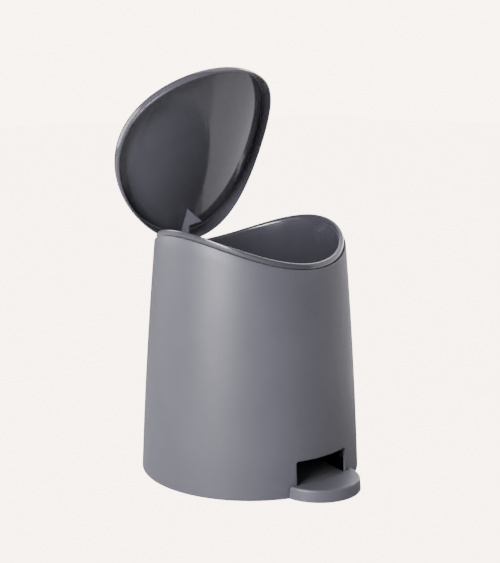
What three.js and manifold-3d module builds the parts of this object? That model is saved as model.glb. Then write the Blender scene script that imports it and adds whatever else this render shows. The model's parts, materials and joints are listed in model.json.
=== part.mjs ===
// Round pedal trash can: tapered shell with a saddle rim, lift-out bucket, hinged lid,
// and a rocking pedal whose lever lifts a push rod behind the bucket to swing the lid.
// Millimetres, +Z up, -Y is the pedal side. The origin is the middle of the flat base.
// The lid is modelled closed and then swung open; the pedal is modelled pressed down.

import * as THREE from 'three';
import { mergeVertices } from 'three/addons/utils/BufferGeometryUtils.js';
import Module from 'manifold-3d';

const wasm = await Module();
wasm.setup();

// ---------------------------------------------------------------- driving dimensions

// Clearances
const SEAT_GAP = 0.3; // between pieces that rest on or are fastened to each other
const RUN_GAP = 0.3; // around pins and pegs that turn
const SIDE_GAP = 0.6; // beside pieces that swing past each other
const OVERCUT = 1; // cutters reach past the faces they cut
const ROOT = 1; // pegs and bosses are rooted this deep in their piece

// Shell
const BASE_RADIUS = 100;
const SHELL_TAPER = 9.8; // straight loss of radius over PROFILE_HEIGHT
const SHELL_BARREL = 5.35; // bowed loss of radius over PROFILE_HEIGHT
const PROFILE_HEIGHT = 220;
const SHELL_WALL = 2.2;
const RIM_LOW = 193.5; // height of the edge at front and back
const SADDLE_RADIUS = 148.8; // the edge climbs along this arc towards both sides
const EDGE_ROUND = 0.9;

// Pedal window
const WINDOW_WIDTH = 58.4;
const WINDOW_TOP = 31.2;
const WINDOW_SILL = 3;
const WINDOW_CORNER = 1.6;

// Base plate
const PLATE_THICKNESS = 3;
const PLATE_FLANGE = 3; // height of the locating flange above the plate
const FLANGE_WALL = 2;

// Fastening of the base plate
const FASTENER_INSET = 13;
const FASTENER_CIRCLE = BASE_RADIUS - FASTENER_INSET;
const FASTENER_ANGLES = [45, 135, 225, 315];
const PILLAR_RADIUS = 4.6;
const PILLAR_TOP = 27;
const PLATE_BOSS_RADIUS = 6.4;
const SCREW_RADIUS = 1.8;
const SCREW_HEAD_RADIUS = 3.6;
const SCREW_HEAD_HEIGHT = 2.2;
const SCREW_LENGTH = 15;
const DRIVE_RADIUS = 1.5;
const DRIVE_DEPTH = 1.2;
const SCREW_BEVEL = 0.7;
const PILOT_SPARE = 1; // pilot hole beyond the screw's tip

// Grip pads
const PAD_INSET = 34;
const PAD_CIRCLE = BASE_RADIUS - PAD_INSET;
const PAD_RADIUS = 8;
const PAD_HEIGHT = 2.4;
const PAD_BOSS_WALL = 2;
const PAD_CHAMFER = 0.6;

// Bucket
const BUCKET_WALL = 2;
const BUCKET_FLOOR = 34; // height of its underside
const BUCKET_FLOOR_RADIUS = 78;
const BUCKET_CORNER = 5;
const LIP_INSET = 1.9; // lip face behind the shell face
const LIP_WIDTH = 5;
const LIP_HEIGHT = 5;
const LIP_GAIN = 2; // the lip stands this much higher at the sides
const LIP_ROUND = 1.8;
const LIP_DROP = 7; // straight skirt of the bucket just under its lip
const LIP_LOCATE_GAP = 1.2; // bucket body inside the shell edge

// Bay at the back of the bucket, which leaves room for the lifting gear
const BAY_HALF_WIDTH = 24.5;
const BAY_GAP = 1.6; // in front of the push rod head
const BAY_CORNER = 4;
const BAY_SILL_DROP = 10; // bay wall top below RIM_LOW
const MOUTH_GAP = 1; // lip cut wider than the knuckle, at each end

// Lid
const LID_OVERHANG = 0.7; // lid face outside the shell edge
const LID_WALL = 1.7;
const LID_EDGE_LIFT = 1; // lid edge above the shell edge
const LID_HEIGHT = 20.6; // from its edge to its top, on the middle line
const LID_FALL = 2.6; // the lid is this much lower at the sides
const LID_ROUND = 16.5;
const LID_OPEN = THREE.MathUtils.degToRad(65.8);

// Hinge
const HINGE_OUTSET = 4.3; // axis outside the lid edge
const HINGE_RISE = 0.9; // axis above RIM_LOW
const KNUCKLE_RADIUS = 4;
const HINGE_PIN_RADIUS = 1.75;
const KNUCKLE_HALF_WIDTH = 15.5;
const KNUCKLE_GAP = 1; // between the knuckle's ends and the ears
const WEB_RISE = 0.5; // underside of the knuckle's web above the axis
const EAR_THICKNESS = 4.6;
const EAR_ROOT_DROP = 17; // ear root below RIM_LOW

// Lifting gear
const CRANK_REACH = 12.6; // peg in front of the hinge axis at both ends of the swing
const CRANK_RISE = CRANK_REACH * Math.tan(LID_OPEN / 2);
const PEG_RADIUS = 2;
const CRANK_EYE_RADIUS = 3.3;
const FIN_THICKNESS = 2.2;
const FIN_LEFT = 0;
const CRANK_LEFT = -12.6; // left crank plate, beside the push rod
const FIN_TOP_REACH = 31.8; // where the fin leaves the lid, in front of the axis
const FIN_TIP_REACH = 30.6;
const FIN_TIP_DROP = 8.2; // below the axis
const FIN_NOSE = 1;
const FIN_WAIST_REACH = 17.6;
const FIN_WAIST_DROP = -4.9;
const FIN_LEG_REACH = 10.4;
const FIN_LEG_DROP = -2.5;

// Push rod
const ROD_THICKNESS = 2.6;
const ROD_WIDTH = 8;
const ROD_JAW = 2; // jaw above and below a peg
const ROD_BRIDGE = 2.4; // front of a jaw opening
const JAW_CORNER = 1.5;
const GUIDE_WALL = 2;
const GUIDE_HEIGHT = 12;
const GUIDE_PAD_WIDTH = 13;
const GUIDE_PAD_DEPTH = 3.4;
const GUIDE_CORNER = 1;
const GUIDE_LOWER_Z = 62;
const GUIDE_UPPER_Z = 150;

// Pedal
const AXLE_Y = -7.6;
const AXLE_Z = 17;
const AXLE_RADIUS = 2;
const POST_THICKNESS = 5;
const POST_FOOT = 15; // half length of a post at the plate
const HUB_RADIUS = 5.6;
const HUB_HALF_WIDTH = 20;
const NECK_HALF_WIDTH = 27;
const NECK_TOP = 10.2;
const NECK_BOTTOM = 3.7;
const NECK_LENGTH = 12; // level part of the lever behind the shell's foot
const NECK_LEAD = 6; // the lever starts to widen this far in front of the tread's back
const NECK_TRAIL = 42; // full neck width reaches this far behind the shell's foot
const HUB_LEAD = 22; // full hub width in front of the axle
const HUB_TRAIL = 10; // and behind it
const LEVER_WEB = 2.4;
const REAR_ARM_WIDTH = 13.2;
const REAR_ARM_START = 40; // slim arm behind the axle
const REAR_ARM_HEIGHT = 7.4;
const TREAD_CENTRE_INSET = 10; // centre of the half-round behind the shell's foot
const TREAD_RADIUS = 37.8;
const TREAD_FLARE = 0.8; // side slope from foot to shoulder
const TREAD_HEIGHT = 10.8;
const TREAD_LIFT = 0.6; // pressed tread above the floor
const TREAD_SHOULDER = 2;
const TREAD_SKIN = 2.4;
const TREAD_GAP = 0.8; // behind the tread, in front of the shell
const TREAD_BACK_ROUND = 0.8;
const TREAD_HEART = 0.55; // share of the radius from the centre to the heart of the outline
const TAB_SETBACK = 9; // lever tab behind the nose of the tread
const TAB_HALF_WIDTH = 15;
const TAB_BOSS_RADIUS = 3.2;
const TAB_BOSS_DROP = 2; // boss under the tread's ceiling
const TAB_SCREW_X = 9;
const TAB_SCREW_RADIUS = 1.3;
const TAB_SCREW_HEAD = 2.6;
const TAB_SCREW_HEAD_HEIGHT = 1.6;
const TAB_SCREW_SETBACK = 15; // screws behind the nose of the tread
const AXLE_OVERHANG = 4; // axle beyond its posts
const CLIP_THICKNESS = 2;
const CLIP_WALL = 2.4;

// Fineness of the round shapes
const BODY_SEGMENTS = 72;
const ROUND_SEGMENTS = 20;
const SCREW_SEGMENTS = 12;
const WALL_TIERS = 5;
const LID_RINGS = [0, 0.35, 0.65, 0.9]; // rings of the lid's top, as shares of its flat radius
const LID_ROUND_STEPS = 4;

// ---------------------------------------------------------------- derived places

const saddle = (x) => SADDLE_RADIUS - Math.sqrt(SADDLE_RADIUS ** 2 - x ** 2);

const shellRadius = (z) => {
  const t = z / PROFILE_HEIGHT;
  return BASE_RADIUS - SHELL_TAPER * t - SHELL_BARREL * t * t;
};

/** Outer radius of the shell where its edge passes a given angle. */
function edgeRadius(angle) {
  let radius = shellRadius(RIM_LOW);
  for (let step = 0; step < 6; step += 1) {
    radius = shellRadius(RIM_LOW + saddle(radius * Math.cos(angle)));
  }
  return radius;
}

const LID_BACK = edgeRadius(Math.PI / 2) + LID_OVERHANG;
const HINGE_Y = LID_BACK + HINGE_OUTSET;
const HINGE_Z = RIM_LOW + HINGE_RISE;
const LID_TOP = LID_EDGE_LIFT + LID_HEIGHT; // above the shell edge, on the middle line
const EAR_INNER = KNUCKLE_HALF_WIDTH + KNUCKLE_GAP;
const EAR_OUTER = EAR_INNER + EAR_THICKNESS;
const MOUTH_HALF_WIDTH = KNUCKLE_HALF_WIDTH + MOUTH_GAP;
const PIN_BORE_RADIUS = HINGE_PIN_RADIUS + RUN_GAP;

const ROD_Y = HINGE_Y - CRANK_REACH;
const FIN_RIGHT = FIN_LEFT + FIN_THICKNESS;
const ROD_LEFT = CRANK_LEFT + FIN_THICKNESS + SIDE_GAP;
const ROD_RIGHT = ROD_LEFT + ROD_THICKNESS;
const CHEEK_LEFT = ROD_RIGHT + SIDE_GAP;
const CRANK_RADIUS = Math.hypot(CRANK_REACH, CRANK_RISE);
const PEG_SHIFT = CRANK_RADIUS - CRANK_REACH; // how far the peg drifts forward in mid swing
const JAW_HALF_HEIGHT = PEG_RADIUS + RUN_GAP + ROD_JAW;
const JAW_FRONT = ROD_Y - PEG_SHIFT - PEG_RADIUS - RUN_GAP - ROD_BRIDGE;
const JAW_BACK = ROD_Y + ROD_WIDTH / 2;
const ROD_TOP_Z = HINGE_Z + CRANK_RISE;
const ROD_FOOT_Z = AXLE_Z + CRANK_RISE;
const GUIDE_BACK = shellRadius(GUIDE_UPPER_Z + GUIDE_HEIGHT / 2) - SHELL_WALL - GUIDE_PAD_DEPTH;

const BAY_FRONT = JAW_FRONT - BAY_GAP;
const BAY_SILL = RIM_LOW - BAY_SILL_DROP;
const POST_INNER = HUB_HALF_WIDTH + SIDE_GAP;
const POST_OUTER = POST_INNER + POST_THICKNESS;
const FLANGE_TOP = PLATE_THICKNESS + PLATE_FLANGE;
const TREAD_CENTRE_Y = TREAD_CENTRE_INSET - BASE_RADIUS;
const TREAD_NOSE_Y = TREAD_CENTRE_Y - TREAD_RADIUS;
const TREAD_BACK_RADIUS = BASE_RADIUS + TREAD_GAP;
const TREAD_CEILING = TREAD_LIFT + TREAD_HEIGHT - TREAD_SKIN;
const TAB_TOP = TREAD_CEILING - TAB_BOSS_DROP;
const ARM_LEFT = ROD_RIGHT + SIDE_GAP;
const ARM_RIGHT = ARM_LEFT + REAR_ARM_WIDTH;

// ---------------------------------------------------------------- solids

const point = (x, y, z) => new THREE.Vector3(x, y, z);

/** Turns a closed geometry into a solid, whichever way its faces were wound. */
function solid(geometry) {
  const bare = geometry.clone();
  bare.deleteAttribute('normal');
  bare.deleteAttribute('uv');
  const merged = mergeVertices(bare);
  const corners = merged.getIndex().array;
  const places = merged.getAttribute('position').array;
  const faces = [];
  let volume = 0;
  for (let i = 0; i < corners.length; i += 3) {
    const [a, b, c] = [corners[i], corners[i + 1], corners[i + 2]];
    if (a === b || b === c || c === a) continue;
    faces.push([a, b, c]);
    const [pa, pb, pc] = [a, b, c].map((k) => new THREE.Vector3().fromArray(places, 3 * k));
    volume += pa.dot(pb.cross(pc));
  }
  const outward = volume > 0 ? faces : faces.map(([a, b, c]) => [a, c, b]);
  const mesh = new wasm.Mesh({
    numProp: 3,
    vertProperties: Float32Array.from(places),
    triVerts: Uint32Array.from(outward.flat()),
  });
  return new wasm.Manifold(mesh);
}

const join = (first, ...others) => others.reduce((sum, next) => sum.add(next), first);
const cut = (first, ...others) => others.reduce((rest, next) => rest.subtract(next), first);

/** Skin over columns of points set round the Z axis; a loop closes each column on itself. */
function skin(columnAt, segments, loop) {
  const columns = [];
  for (let i = 0; i < segments; i += 1) {
    columns.push(columnAt((2 * Math.PI * i) / segments));
  }
  const rows = columns[0].length;
  const spans = loop ? rows : rows - 1;
  const index = [];
  for (let i = 0; i < segments; i += 1) {
    const here = i * rows;
    const next = ((i + 1) % segments) * rows;
    for (let j = 0; j < spans; j += 1) {
      const up = (j + 1) % rows;
      index.push(here + j, next + j, next + up, here + j, next + up, here + up);
    }
  }
  const geometry = new THREE.BufferGeometry();
  geometry.setAttribute('position', new THREE.Float32BufferAttribute(
    columns.flat().flatMap((p) => [p.x, p.y, p.z]), 3));
  geometry.setIndex(index);
  return solid(geometry);
}

/** Body of revolution about Z from [radius, z] pairs. */
function turned(profile, segments = ROUND_SEGMENTS) {
  const points = profile.map(([radius, z]) => new THREE.Vector2(radius, z));
  return solid(new THREE.LatheGeometry(points, segments).rotateX(Math.PI / 2));
}

const disc = (radius, low, high, segments = ROUND_SEGMENTS) =>
  turned([[0, low], [radius, low], [radius, high], [0, high]], segments);

function outline(points) {
  return new THREE.Shape(points.map(([u, v]) => new THREE.Vector2(u, v)));
}

function roundedBox(left, low, right, high, radius) {
  const shape = new THREE.Shape();
  shape.moveTo(left + radius, low);
  shape.absarc(right - radius, low + radius, radius, -Math.PI / 2, 0, false);
  shape.absarc(right - radius, high - radius, radius, 0, Math.PI / 2, false);
  shape.absarc(left + radius, high - radius, radius, Math.PI / 2, Math.PI, false);
  shape.absarc(left + radius, low + radius, radius, Math.PI, 1.5 * Math.PI, false);
  return shape;
}

function prism(shape, depth) {
  return new THREE.ExtrudeGeometry(shape, { depth, bevelEnabled: false, curveSegments: 4 });
}

/** Prism of an outline drawn in Y and Z, from x = left to x = right. */
function prismX(shape, left, right) {
  const turn = new THREE.Matrix4().makeBasis(point(0, 1, 0), point(0, 0, 1), point(1, 0, 0));
  return solid(prism(shape, right - left).applyMatrix4(turn).translate(left, 0, 0));
}

/** Prism of an outline drawn in X and Z, from y = front to y = back. */
function prismY(shape, front, back) {
  return solid(prism(shape, back - front).rotateX(Math.PI / 2).translate(0, back, 0));
}

/** Prism of an outline drawn in X and Y, from z = low to z = high. */
function prismZ(shape, low, high) {
  return solid(prism(shape, high - low).translate(0, 0, low));
}

function block(x0, x1, y0, y1, z0, z1) {
  const geometry = new THREE.BoxGeometry(x1 - x0, y1 - y0, z1 - z0);
  return solid(geometry.translate((x0 + x1) / 2, (y0 + y1) / 2, (z0 + z1) / 2));
}

/** Cylinder along X round the axis at (y, z). */
function barX(radius, left, right, y, z, segments = ROUND_SEGMENTS) {
  const geometry = new THREE.CylinderGeometry(radius, radius, right - left, segments);
  return solid(geometry.rotateZ(Math.PI / 2).translate((left + right) / 2, y, z));
}

/** Pin along X with small chamfers at both ends. */
function pinX(radius, left, right, y, z) {
  const chamfer = radius / 4;
  const body = turned([
    [0, left], [radius - chamfer, left], [radius, left + chamfer],
    [radius, right - chamfer], [radius - chamfer, right], [0, right],
  ]);
  return body.rotate([0, 90, 0]).translate([0, y, z]);
}

const atAngle = (degrees, radius) => {
  const angle = THREE.MathUtils.degToRad(degrees);
  return [radius * Math.cos(angle), radius * Math.sin(angle)];
};

/** Point at a radius and angle, at a height above the saddle that the shell edge follows. */
const onSaddle = (angle, radius, lift) => {
  const x = radius * Math.cos(angle);
  return point(x, radius * Math.sin(angle), RIM_LOW + lift + saddle(x));
};

const onLevel = (angle, radius, z) =>
  point(radius * Math.cos(angle), radius * Math.sin(angle), z);

// ---------------------------------------------------------------- shell

const tierHeights = (top) =>
  Array.from({ length: WALL_TIERS }, (_, i) => (top * i) / (WALL_TIERS - 1));

/** Tapered wall with a rounded edge that follows the saddle. */
function shellWall() {
  return skin((angle) => {
    const edge = edgeRadius(angle);
    const top = RIM_LOW + saddle(edge * Math.cos(angle));
    const heights = tierHeights(top - EDGE_ROUND);
    const outside = heights.map((z) => onLevel(angle, shellRadius(z), z));
    const inside = heights.map((z) => onLevel(angle, shellRadius(z) - SHELL_WALL, z)).reverse();
    const crest = [
      onSaddle(angle, edge - EDGE_ROUND / 3, -EDGE_ROUND / 3),
      onSaddle(angle, edge - EDGE_ROUND, 0),
      onSaddle(angle, edge - SHELL_WALL, 0),
    ];
    return [...outside, ...crest, ...inside];
  }, BODY_SEGMENTS, true);
}

/** Everything inside the middle of the wall, up to the lowest part of the edge. */
function wallCore() {
  return skin((angle) => [
    point(0, 0, 0),
    ...tierHeights(RIM_LOW).map((z) => onLevel(angle, shellRadius(z) - SHELL_WALL / 2, z)),
    point(0, 0, RIM_LOW),
  ], BODY_SEGMENTS, false);
}

function windowCutter() {
  const half = WINDOW_WIDTH / 2;
  const shape = roundedBox(-half, WINDOW_SILL, half, WINDOW_TOP, WINDOW_CORNER);
  return prismY(shape, -BASE_RADIUS - OVERCUT, -BASE_RADIUS / 2);
}

/** Screw pillar inside the wall, with the web that ties it to the wall. */
function screwPillar(degrees) {
  const low = FLANGE_TOP + SEAT_GAP;
  const [x, y] = atAngle(degrees, FASTENER_CIRCLE);
  const wall = shellRadius(PILLAR_TOP) - SHELL_WALL / 2;
  const web = block(FASTENER_CIRCLE, wall, -SHELL_WALL / 2, SHELL_WALL / 2, low, PILLAR_TOP);
  const pillar = disc(PILLAR_RADIUS, low, PILLAR_TOP).translate([x, y, 0]);
  return join(pillar, web.rotate([0, 0, degrees]));
}

function pilotHole(degrees) {
  const [x, y] = atAngle(degrees, FASTENER_CIRCLE);
  const depth = SCREW_HEAD_HEIGHT + SCREW_LENGTH + 2 * RUN_GAP + PILOT_SPARE;
  return disc(SCREW_RADIUS + RUN_GAP, 0, depth, SCREW_SEGMENTS).translate([x, y, 0]);
}

/** Hinge ear: round eye on the axis, tapering down into the back of the wall. */
function hingeEar(left, right) {
  const root = RIM_LOW - EAR_ROOT_DROP;
  const rooted = (z) => Math.sqrt((shellRadius(z) - SHELL_WALL / 2) ** 2 - EAR_OUTER ** 2);
  const web = outline([
    [rooted(root), root], [HINGE_Y + KNUCKLE_RADIUS, HINGE_Z],
    [HINGE_Y, HINGE_Z + KNUCKLE_RADIUS / 2], [rooted(RIM_LOW), RIM_LOW - SEAT_GAP],
  ]);
  return join(prismX(web, left, right), barX(KNUCKLE_RADIUS, left, right, HINGE_Y, HINGE_Z));
}

/** Flat pad on the inside of the back wall that a rod guide is fastened to. */
function guidePad(z) {
  const middle = (ROD_LEFT + ROD_RIGHT) / 2;
  return block(
    middle - GUIDE_PAD_WIDTH / 2, middle + GUIDE_PAD_WIDTH / 2,
    GUIDE_BACK, BASE_RADIUS, z - GUIDE_HEIGHT / 2, z + GUIDE_HEIGHT / 2);
}

function outerShell() {
  const pads = join(guidePad(GUIDE_LOWER_Z), guidePad(GUIDE_UPPER_Z)).intersect(wallCore());
  const body = join(
    shellWall(), hingeEar(-EAR_OUTER, -EAR_INNER), hingeEar(EAR_INNER, EAR_OUTER), pads,
    ...FASTENER_ANGLES.map(screwPillar));
  const pinBore = barX(
    PIN_BORE_RADIUS, -EAR_OUTER - OVERCUT, EAR_OUTER + OVERCUT, HINGE_Y, HINGE_Z);
  return cut(body, windowCutter(), pinBore, ...FASTENER_ANGLES.map(pilotHole));
}

// ---------------------------------------------------------------- base plate

function axlePost(side) {
  const shape = outline([
    [AXLE_Y - POST_FOOT, PLATE_THICKNESS / 2], [AXLE_Y + POST_FOOT, PLATE_THICKNESS / 2],
    [AXLE_Y + HUB_RADIUS, AXLE_Z], [AXLE_Y - HUB_RADIUS, AXLE_Z],
  ]);
  const [left, right] = side < 0 ? [-POST_OUTER, -POST_INNER] : [POST_INNER, POST_OUTER];
  return join(prismX(shape, left, right), barX(HUB_RADIUS, left, right, AXLE_Y, AXLE_Z));
}

function basePlate() {
  const radius = shellRadius(FLANGE_TOP) - SHELL_WALL - SEAT_GAP;
  const tray = turned([
    [0, 0], [radius, 0], [radius, FLANGE_TOP], [radius - FLANGE_WALL, FLANGE_TOP],
    [radius - FLANGE_WALL, PLATE_THICKNESS], [0, PLATE_THICKNESS],
  ], BODY_SEGMENTS);
  const half = WINDOW_WIDTH / 2 + FLANGE_WALL;
  const doorway = block(
    -half, half, -BASE_RADIUS, AXLE_Y - POST_FOOT - SIDE_GAP,
    PLATE_THICKNESS, FLANGE_TOP + OVERCUT);
  const bosses = [];
  const holes = [];
  for (const degrees of FASTENER_ANGLES) {
    const [x, y] = atAngle(degrees, FASTENER_CIRCLE);
    const [u, v] = atAngle(degrees, PAD_CIRCLE);
    const sink = SCREW_HEAD_HEIGHT + 2 * RUN_GAP;
    bosses.push(disc(PLATE_BOSS_RADIUS, PLATE_THICKNESS / 2, FLANGE_TOP).translate([x, y, 0]));
    bosses.push(disc(
      PAD_RADIUS + PAD_BOSS_WALL, PLATE_THICKNESS / 2,
      PAD_HEIGHT + SEAT_GAP + PAD_BOSS_WALL).translate([u, v, 0]));
    holes.push(disc(SCREW_HEAD_RADIUS + RUN_GAP, -OVERCUT, sink).translate([x, y, 0]));
    holes.push(disc(SCREW_RADIUS + RUN_GAP, -OVERCUT, FLANGE_TOP + OVERCUT, SCREW_SEGMENTS)
      .translate([x, y, 0]));
    holes.push(disc(PAD_RADIUS + SEAT_GAP, -OVERCUT, PAD_HEIGHT + SEAT_GAP).translate([u, v, 0]));
  }
  const plate = join(cut(tray, doorway), axlePost(-1), axlePost(1), ...bosses);
  const bore = barX(
    AXLE_RADIUS + RUN_GAP, -POST_OUTER - OVERCUT, POST_OUTER + OVERCUT, AXLE_Y, AXLE_Z);
  return cut(plate, bore, ...holes);
}

/** Screw pointing up, with a round drive recess in its head. */
function screw(radius, headRadius, headHeight, length) {
  return turned([
    [0, DRIVE_DEPTH], [DRIVE_RADIUS / 2, DRIVE_DEPTH], [DRIVE_RADIUS, 0],
    [headRadius - SCREW_BEVEL, 0], [headRadius, SCREW_BEVEL], [headRadius, headHeight],
    [radius, headHeight], [radius, headHeight + length - radius],
    [radius / 2, headHeight + length], [0, headHeight + length],
  ], SCREW_SEGMENTS);
}

const gripPad = () => turned([
  [0, 0], [PAD_RADIUS - PAD_CHAMFER, 0], [PAD_RADIUS, PAD_CHAMFER],
  [PAD_RADIUS, PAD_HEIGHT], [0, PAD_HEIGHT],
]);

// ---------------------------------------------------------------- bucket

const bayPlan = (grow) => roundedBox(
  -BAY_HALF_WIDTH - grow, BAY_FRONT - grow, BAY_HALF_WIDTH + grow,
  BASE_RADIUS, BAY_CORNER + grow);

/** Outside of the bucket from the middle of its floor up to the outer foot of the lip. */
function bucketOutside(angle) {
  const edge = edgeRadius(angle);
  const body = edge - SHELL_WALL - LIP_LOCATE_GAP;
  const turn = BUCKET_CORNER * (1 - Math.SQRT1_2);
  return [
    onLevel(angle, 0, BUCKET_FLOOR),
    onLevel(angle, BUCKET_FLOOR_RADIUS - BUCKET_CORNER, BUCKET_FLOOR),
    onLevel(angle, BUCKET_FLOOR_RADIUS - turn, BUCKET_FLOOR + turn),
    onLevel(angle, BUCKET_FLOOR_RADIUS, BUCKET_FLOOR + BUCKET_CORNER),
    onSaddle(angle, body, -LIP_DROP),
    onSaddle(angle, body, SEAT_GAP),
    onSaddle(angle, edge - LIP_INSET, SEAT_GAP),
  ];
}

/** Rounded lip, from its outer foot over the crest to the mouth. */
function lipCrest(angle) {
  const face = edgeRadius(angle) - LIP_INSET;
  const mouth = face - LIP_WIDTH;
  const turn = LIP_ROUND * (1 - Math.SQRT1_2);
  const top = LIP_HEIGHT + LIP_GAIN * Math.cos(angle) ** 2;
  return [
    onSaddle(angle, face, top - LIP_ROUND),
    onSaddle(angle, face - turn, top - turn),
    onSaddle(angle, face - LIP_ROUND, top),
    onSaddle(angle, mouth + LIP_ROUND, top),
    onSaddle(angle, mouth + turn, top - turn),
    onSaddle(angle, mouth, top - LIP_ROUND),
  ];
}

function bucketInside(angle) {
  const floor = BUCKET_FLOOR + BUCKET_WALL;
  const radius = BUCKET_FLOOR_RADIUS - BUCKET_WALL;
  const turn = BUCKET_CORNER * (1 - Math.SQRT1_2);
  const body = edgeRadius(angle) - SHELL_WALL - LIP_LOCATE_GAP - BUCKET_WALL;
  return [
    onSaddle(angle, Math.min(body, edgeRadius(angle) - LIP_INSET - LIP_WIDTH), -LIP_DROP),
    onLevel(angle, radius, floor + BUCKET_CORNER),
    onLevel(angle, radius - turn, floor + turn),
    onLevel(angle, radius - BUCKET_CORNER, floor),
    onLevel(angle, 0, floor),
  ];
}

function innerBucket() {
  const cup = skin(
    (angle) => [...bucketOutside(angle), ...lipCrest(angle), ...bucketInside(angle)],
    BODY_SEGMENTS, false);
  const core = skin(
    (angle) => [...bucketOutside(angle).slice(0, 5), onSaddle(angle, 0, -LIP_DROP)],
    BODY_SEGMENTS, false);
  const top = RIM_LOW + PROFILE_HEIGHT;
  const bay = prismZ(bayPlan(0), 0, RIM_LOW + SEAT_GAP);
  const bayWall = cut(prismZ(bayPlan(BUCKET_WALL), 0, top), bay).intersect(core);
  const mouth = block(
    -MOUTH_HALF_WIDTH, MOUTH_HALF_WIDTH, BAY_FRONT - BUCKET_WALL - OVERCUT, BASE_RADIUS,
    BAY_SILL, top);
  return cut(join(cut(cup, bay), bayWall), mouth);
}

// ---------------------------------------------------------------- lid

/** Outer face of the lid from the middle of its top to its edge, set in by an inset. */
function lidFace(angle, inset) {
  const edge = edgeRadius(angle) + LID_OVERHANG;
  const reach = edge - LID_ROUND;
  const fall = (radius) => LID_FALL * ((radius * Math.cos(angle)) / edge) ** 2;
  const flat = LID_RINGS.map(
    (share) => onSaddle(angle, reach * share, LID_TOP - inset - fall(reach * share)));
  const bend = Array.from({ length: LID_ROUND_STEPS + 1 }, (_, i) => {
    const turn = (Math.PI / 2) * (1 - i / LID_ROUND_STEPS);
    const radius = reach + (LID_ROUND - inset) * Math.cos(turn);
    const height = LID_TOP - LID_ROUND + (LID_ROUND - inset) * Math.sin(turn);
    return onSaddle(angle, radius, height - fall(radius));
  });
  return [...flat, ...bend, onSaddle(angle, edge - inset, LID_EDGE_LIFT)];
}

/** Everything inside the middle of the lid's wall, down into the bin. */
function lidCore() {
  return skin(
    (angle) => [...lidFace(angle, LID_WALL / 2), point(0, 0, RIM_LOW / 2)],
    BODY_SEGMENTS, false);
}

/** Side view point measured from the hinge axis: reach towards the front, drop downwards. */
const fromAxis = (reach, drop) => [HINGE_Y - reach, HINGE_Z - drop];

/** Crank plate: from the knuckle over the shell's edge, then down inside to the eye. */
function crankPlate(left) {
  const wallInside = LID_BACK - LID_OVERHANG - SHELL_WALL;
  const wallReach = HINGE_Y - Math.sqrt(wallInside ** 2 - CRANK_LEFT ** 2) + SIDE_GAP;
  const plate = outline([
    fromAxis(0, -KNUCKLE_RADIUS), fromAxis(FIN_LEG_REACH, FIN_LEG_DROP - KNUCKLE_RADIUS),
    fromAxis(FIN_LEG_REACH + ROOT, FIN_LEG_DROP),
    fromAxis(CRANK_REACH + CRANK_EYE_RADIUS, CRANK_RISE),
    fromAxis(CRANK_REACH - CRANK_EYE_RADIUS, CRANK_RISE),
    fromAxis(wallReach, -WEB_RISE), fromAxis(0, -WEB_RISE),
  ]);
  const right = left + FIN_THICKNESS;
  return join(
    prismX(plate, left, right),
    barX(CRANK_EYE_RADIUS, left, right, ...fromAxis(CRANK_REACH, CRANK_RISE)));
}

/** Fin under the lid, with a leg that runs back to the hinge. */
function lidFin(core) {
  const fin = outline([
    fromAxis(FIN_TOP_REACH, -LID_TOP), fromAxis(FIN_TIP_REACH, FIN_TIP_DROP),
    fromAxis(FIN_TIP_REACH - FIN_NOSE, FIN_TIP_DROP + FIN_NOSE / 2),
    fromAxis(FIN_WAIST_REACH, FIN_WAIST_DROP), fromAxis(FIN_LEG_REACH, FIN_LEG_DROP),
    fromAxis(0, FIN_LEG_DROP), fromAxis(0, -LID_TOP),
  ]);
  return prismX(fin, FIN_LEFT, FIN_RIGHT).intersect(core);
}

/** Two crank plates with the peg between them that the push rod lifts. */
const lidCrank = () => join(
  crankPlate(CRANK_LEFT), crankPlate(CHEEK_LEFT),
  barX(
    PEG_RADIUS, ROD_LEFT - SIDE_GAP - ROOT, CHEEK_LEFT + ROOT,
    ...fromAxis(CRANK_REACH, CRANK_RISE)));

/** Knuckle on the hinge axis and the web that ties it to the lid's edge. */
function lidKnuckle() {
  const edge = Math.sqrt(LID_BACK ** 2 - KNUCKLE_HALF_WIDTH ** 2) - ROOT / 2;
  const web = block(
    -KNUCKLE_HALF_WIDTH, KNUCKLE_HALF_WIDTH, edge, HINGE_Y,
    HINGE_Z + WEB_RISE, HINGE_Z + KNUCKLE_RADIUS);
  return join(web, barX(
    KNUCKLE_RADIUS, -KNUCKLE_HALF_WIDTH, KNUCKLE_HALF_WIDTH, HINGE_Y, HINGE_Z));
}

function lid() {
  const cap = skin(
    (angle) => [...lidFace(angle, 0), ...lidFace(angle, LID_WALL).reverse()],
    BODY_SEGMENTS, false);
  const bore = barX(
    PIN_BORE_RADIUS, -KNUCKLE_HALF_WIDTH - OVERCUT, KNUCKLE_HALF_WIDTH + OVERCUT,
    HINGE_Y, HINGE_Z);
  return cut(join(cap, lidFin(lidCore()), lidCrank(), lidKnuckle()), bore)
    .translate([0, -HINGE_Y, -HINGE_Z]);
}

const hingePin = () => pinX(
  HINGE_PIN_RADIUS, -EAR_OUTER - SIDE_GAP, EAR_OUTER + SIDE_GAP, HINGE_Y, HINGE_Z);

// ---------------------------------------------------------------- push rod and guides

/** Jaw that a peg rides in: open to the back, so that the rod snaps over the peg. */
function rodJaw(z) {
  const head = roundedBox(JAW_FRONT, z - JAW_HALF_HEIGHT, JAW_BACK, z + JAW_HALF_HEIGHT, JAW_CORNER);
  const half = PEG_RADIUS + RUN_GAP;
  const slot = block(
    ROD_LEFT - OVERCUT, ROD_RIGHT + OVERCUT, JAW_FRONT + ROD_BRIDGE, JAW_BACK + OVERCUT,
    z - half, z + half);
  return { head: prismX(head, ROD_LEFT, ROD_RIGHT), slot };
}

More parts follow.
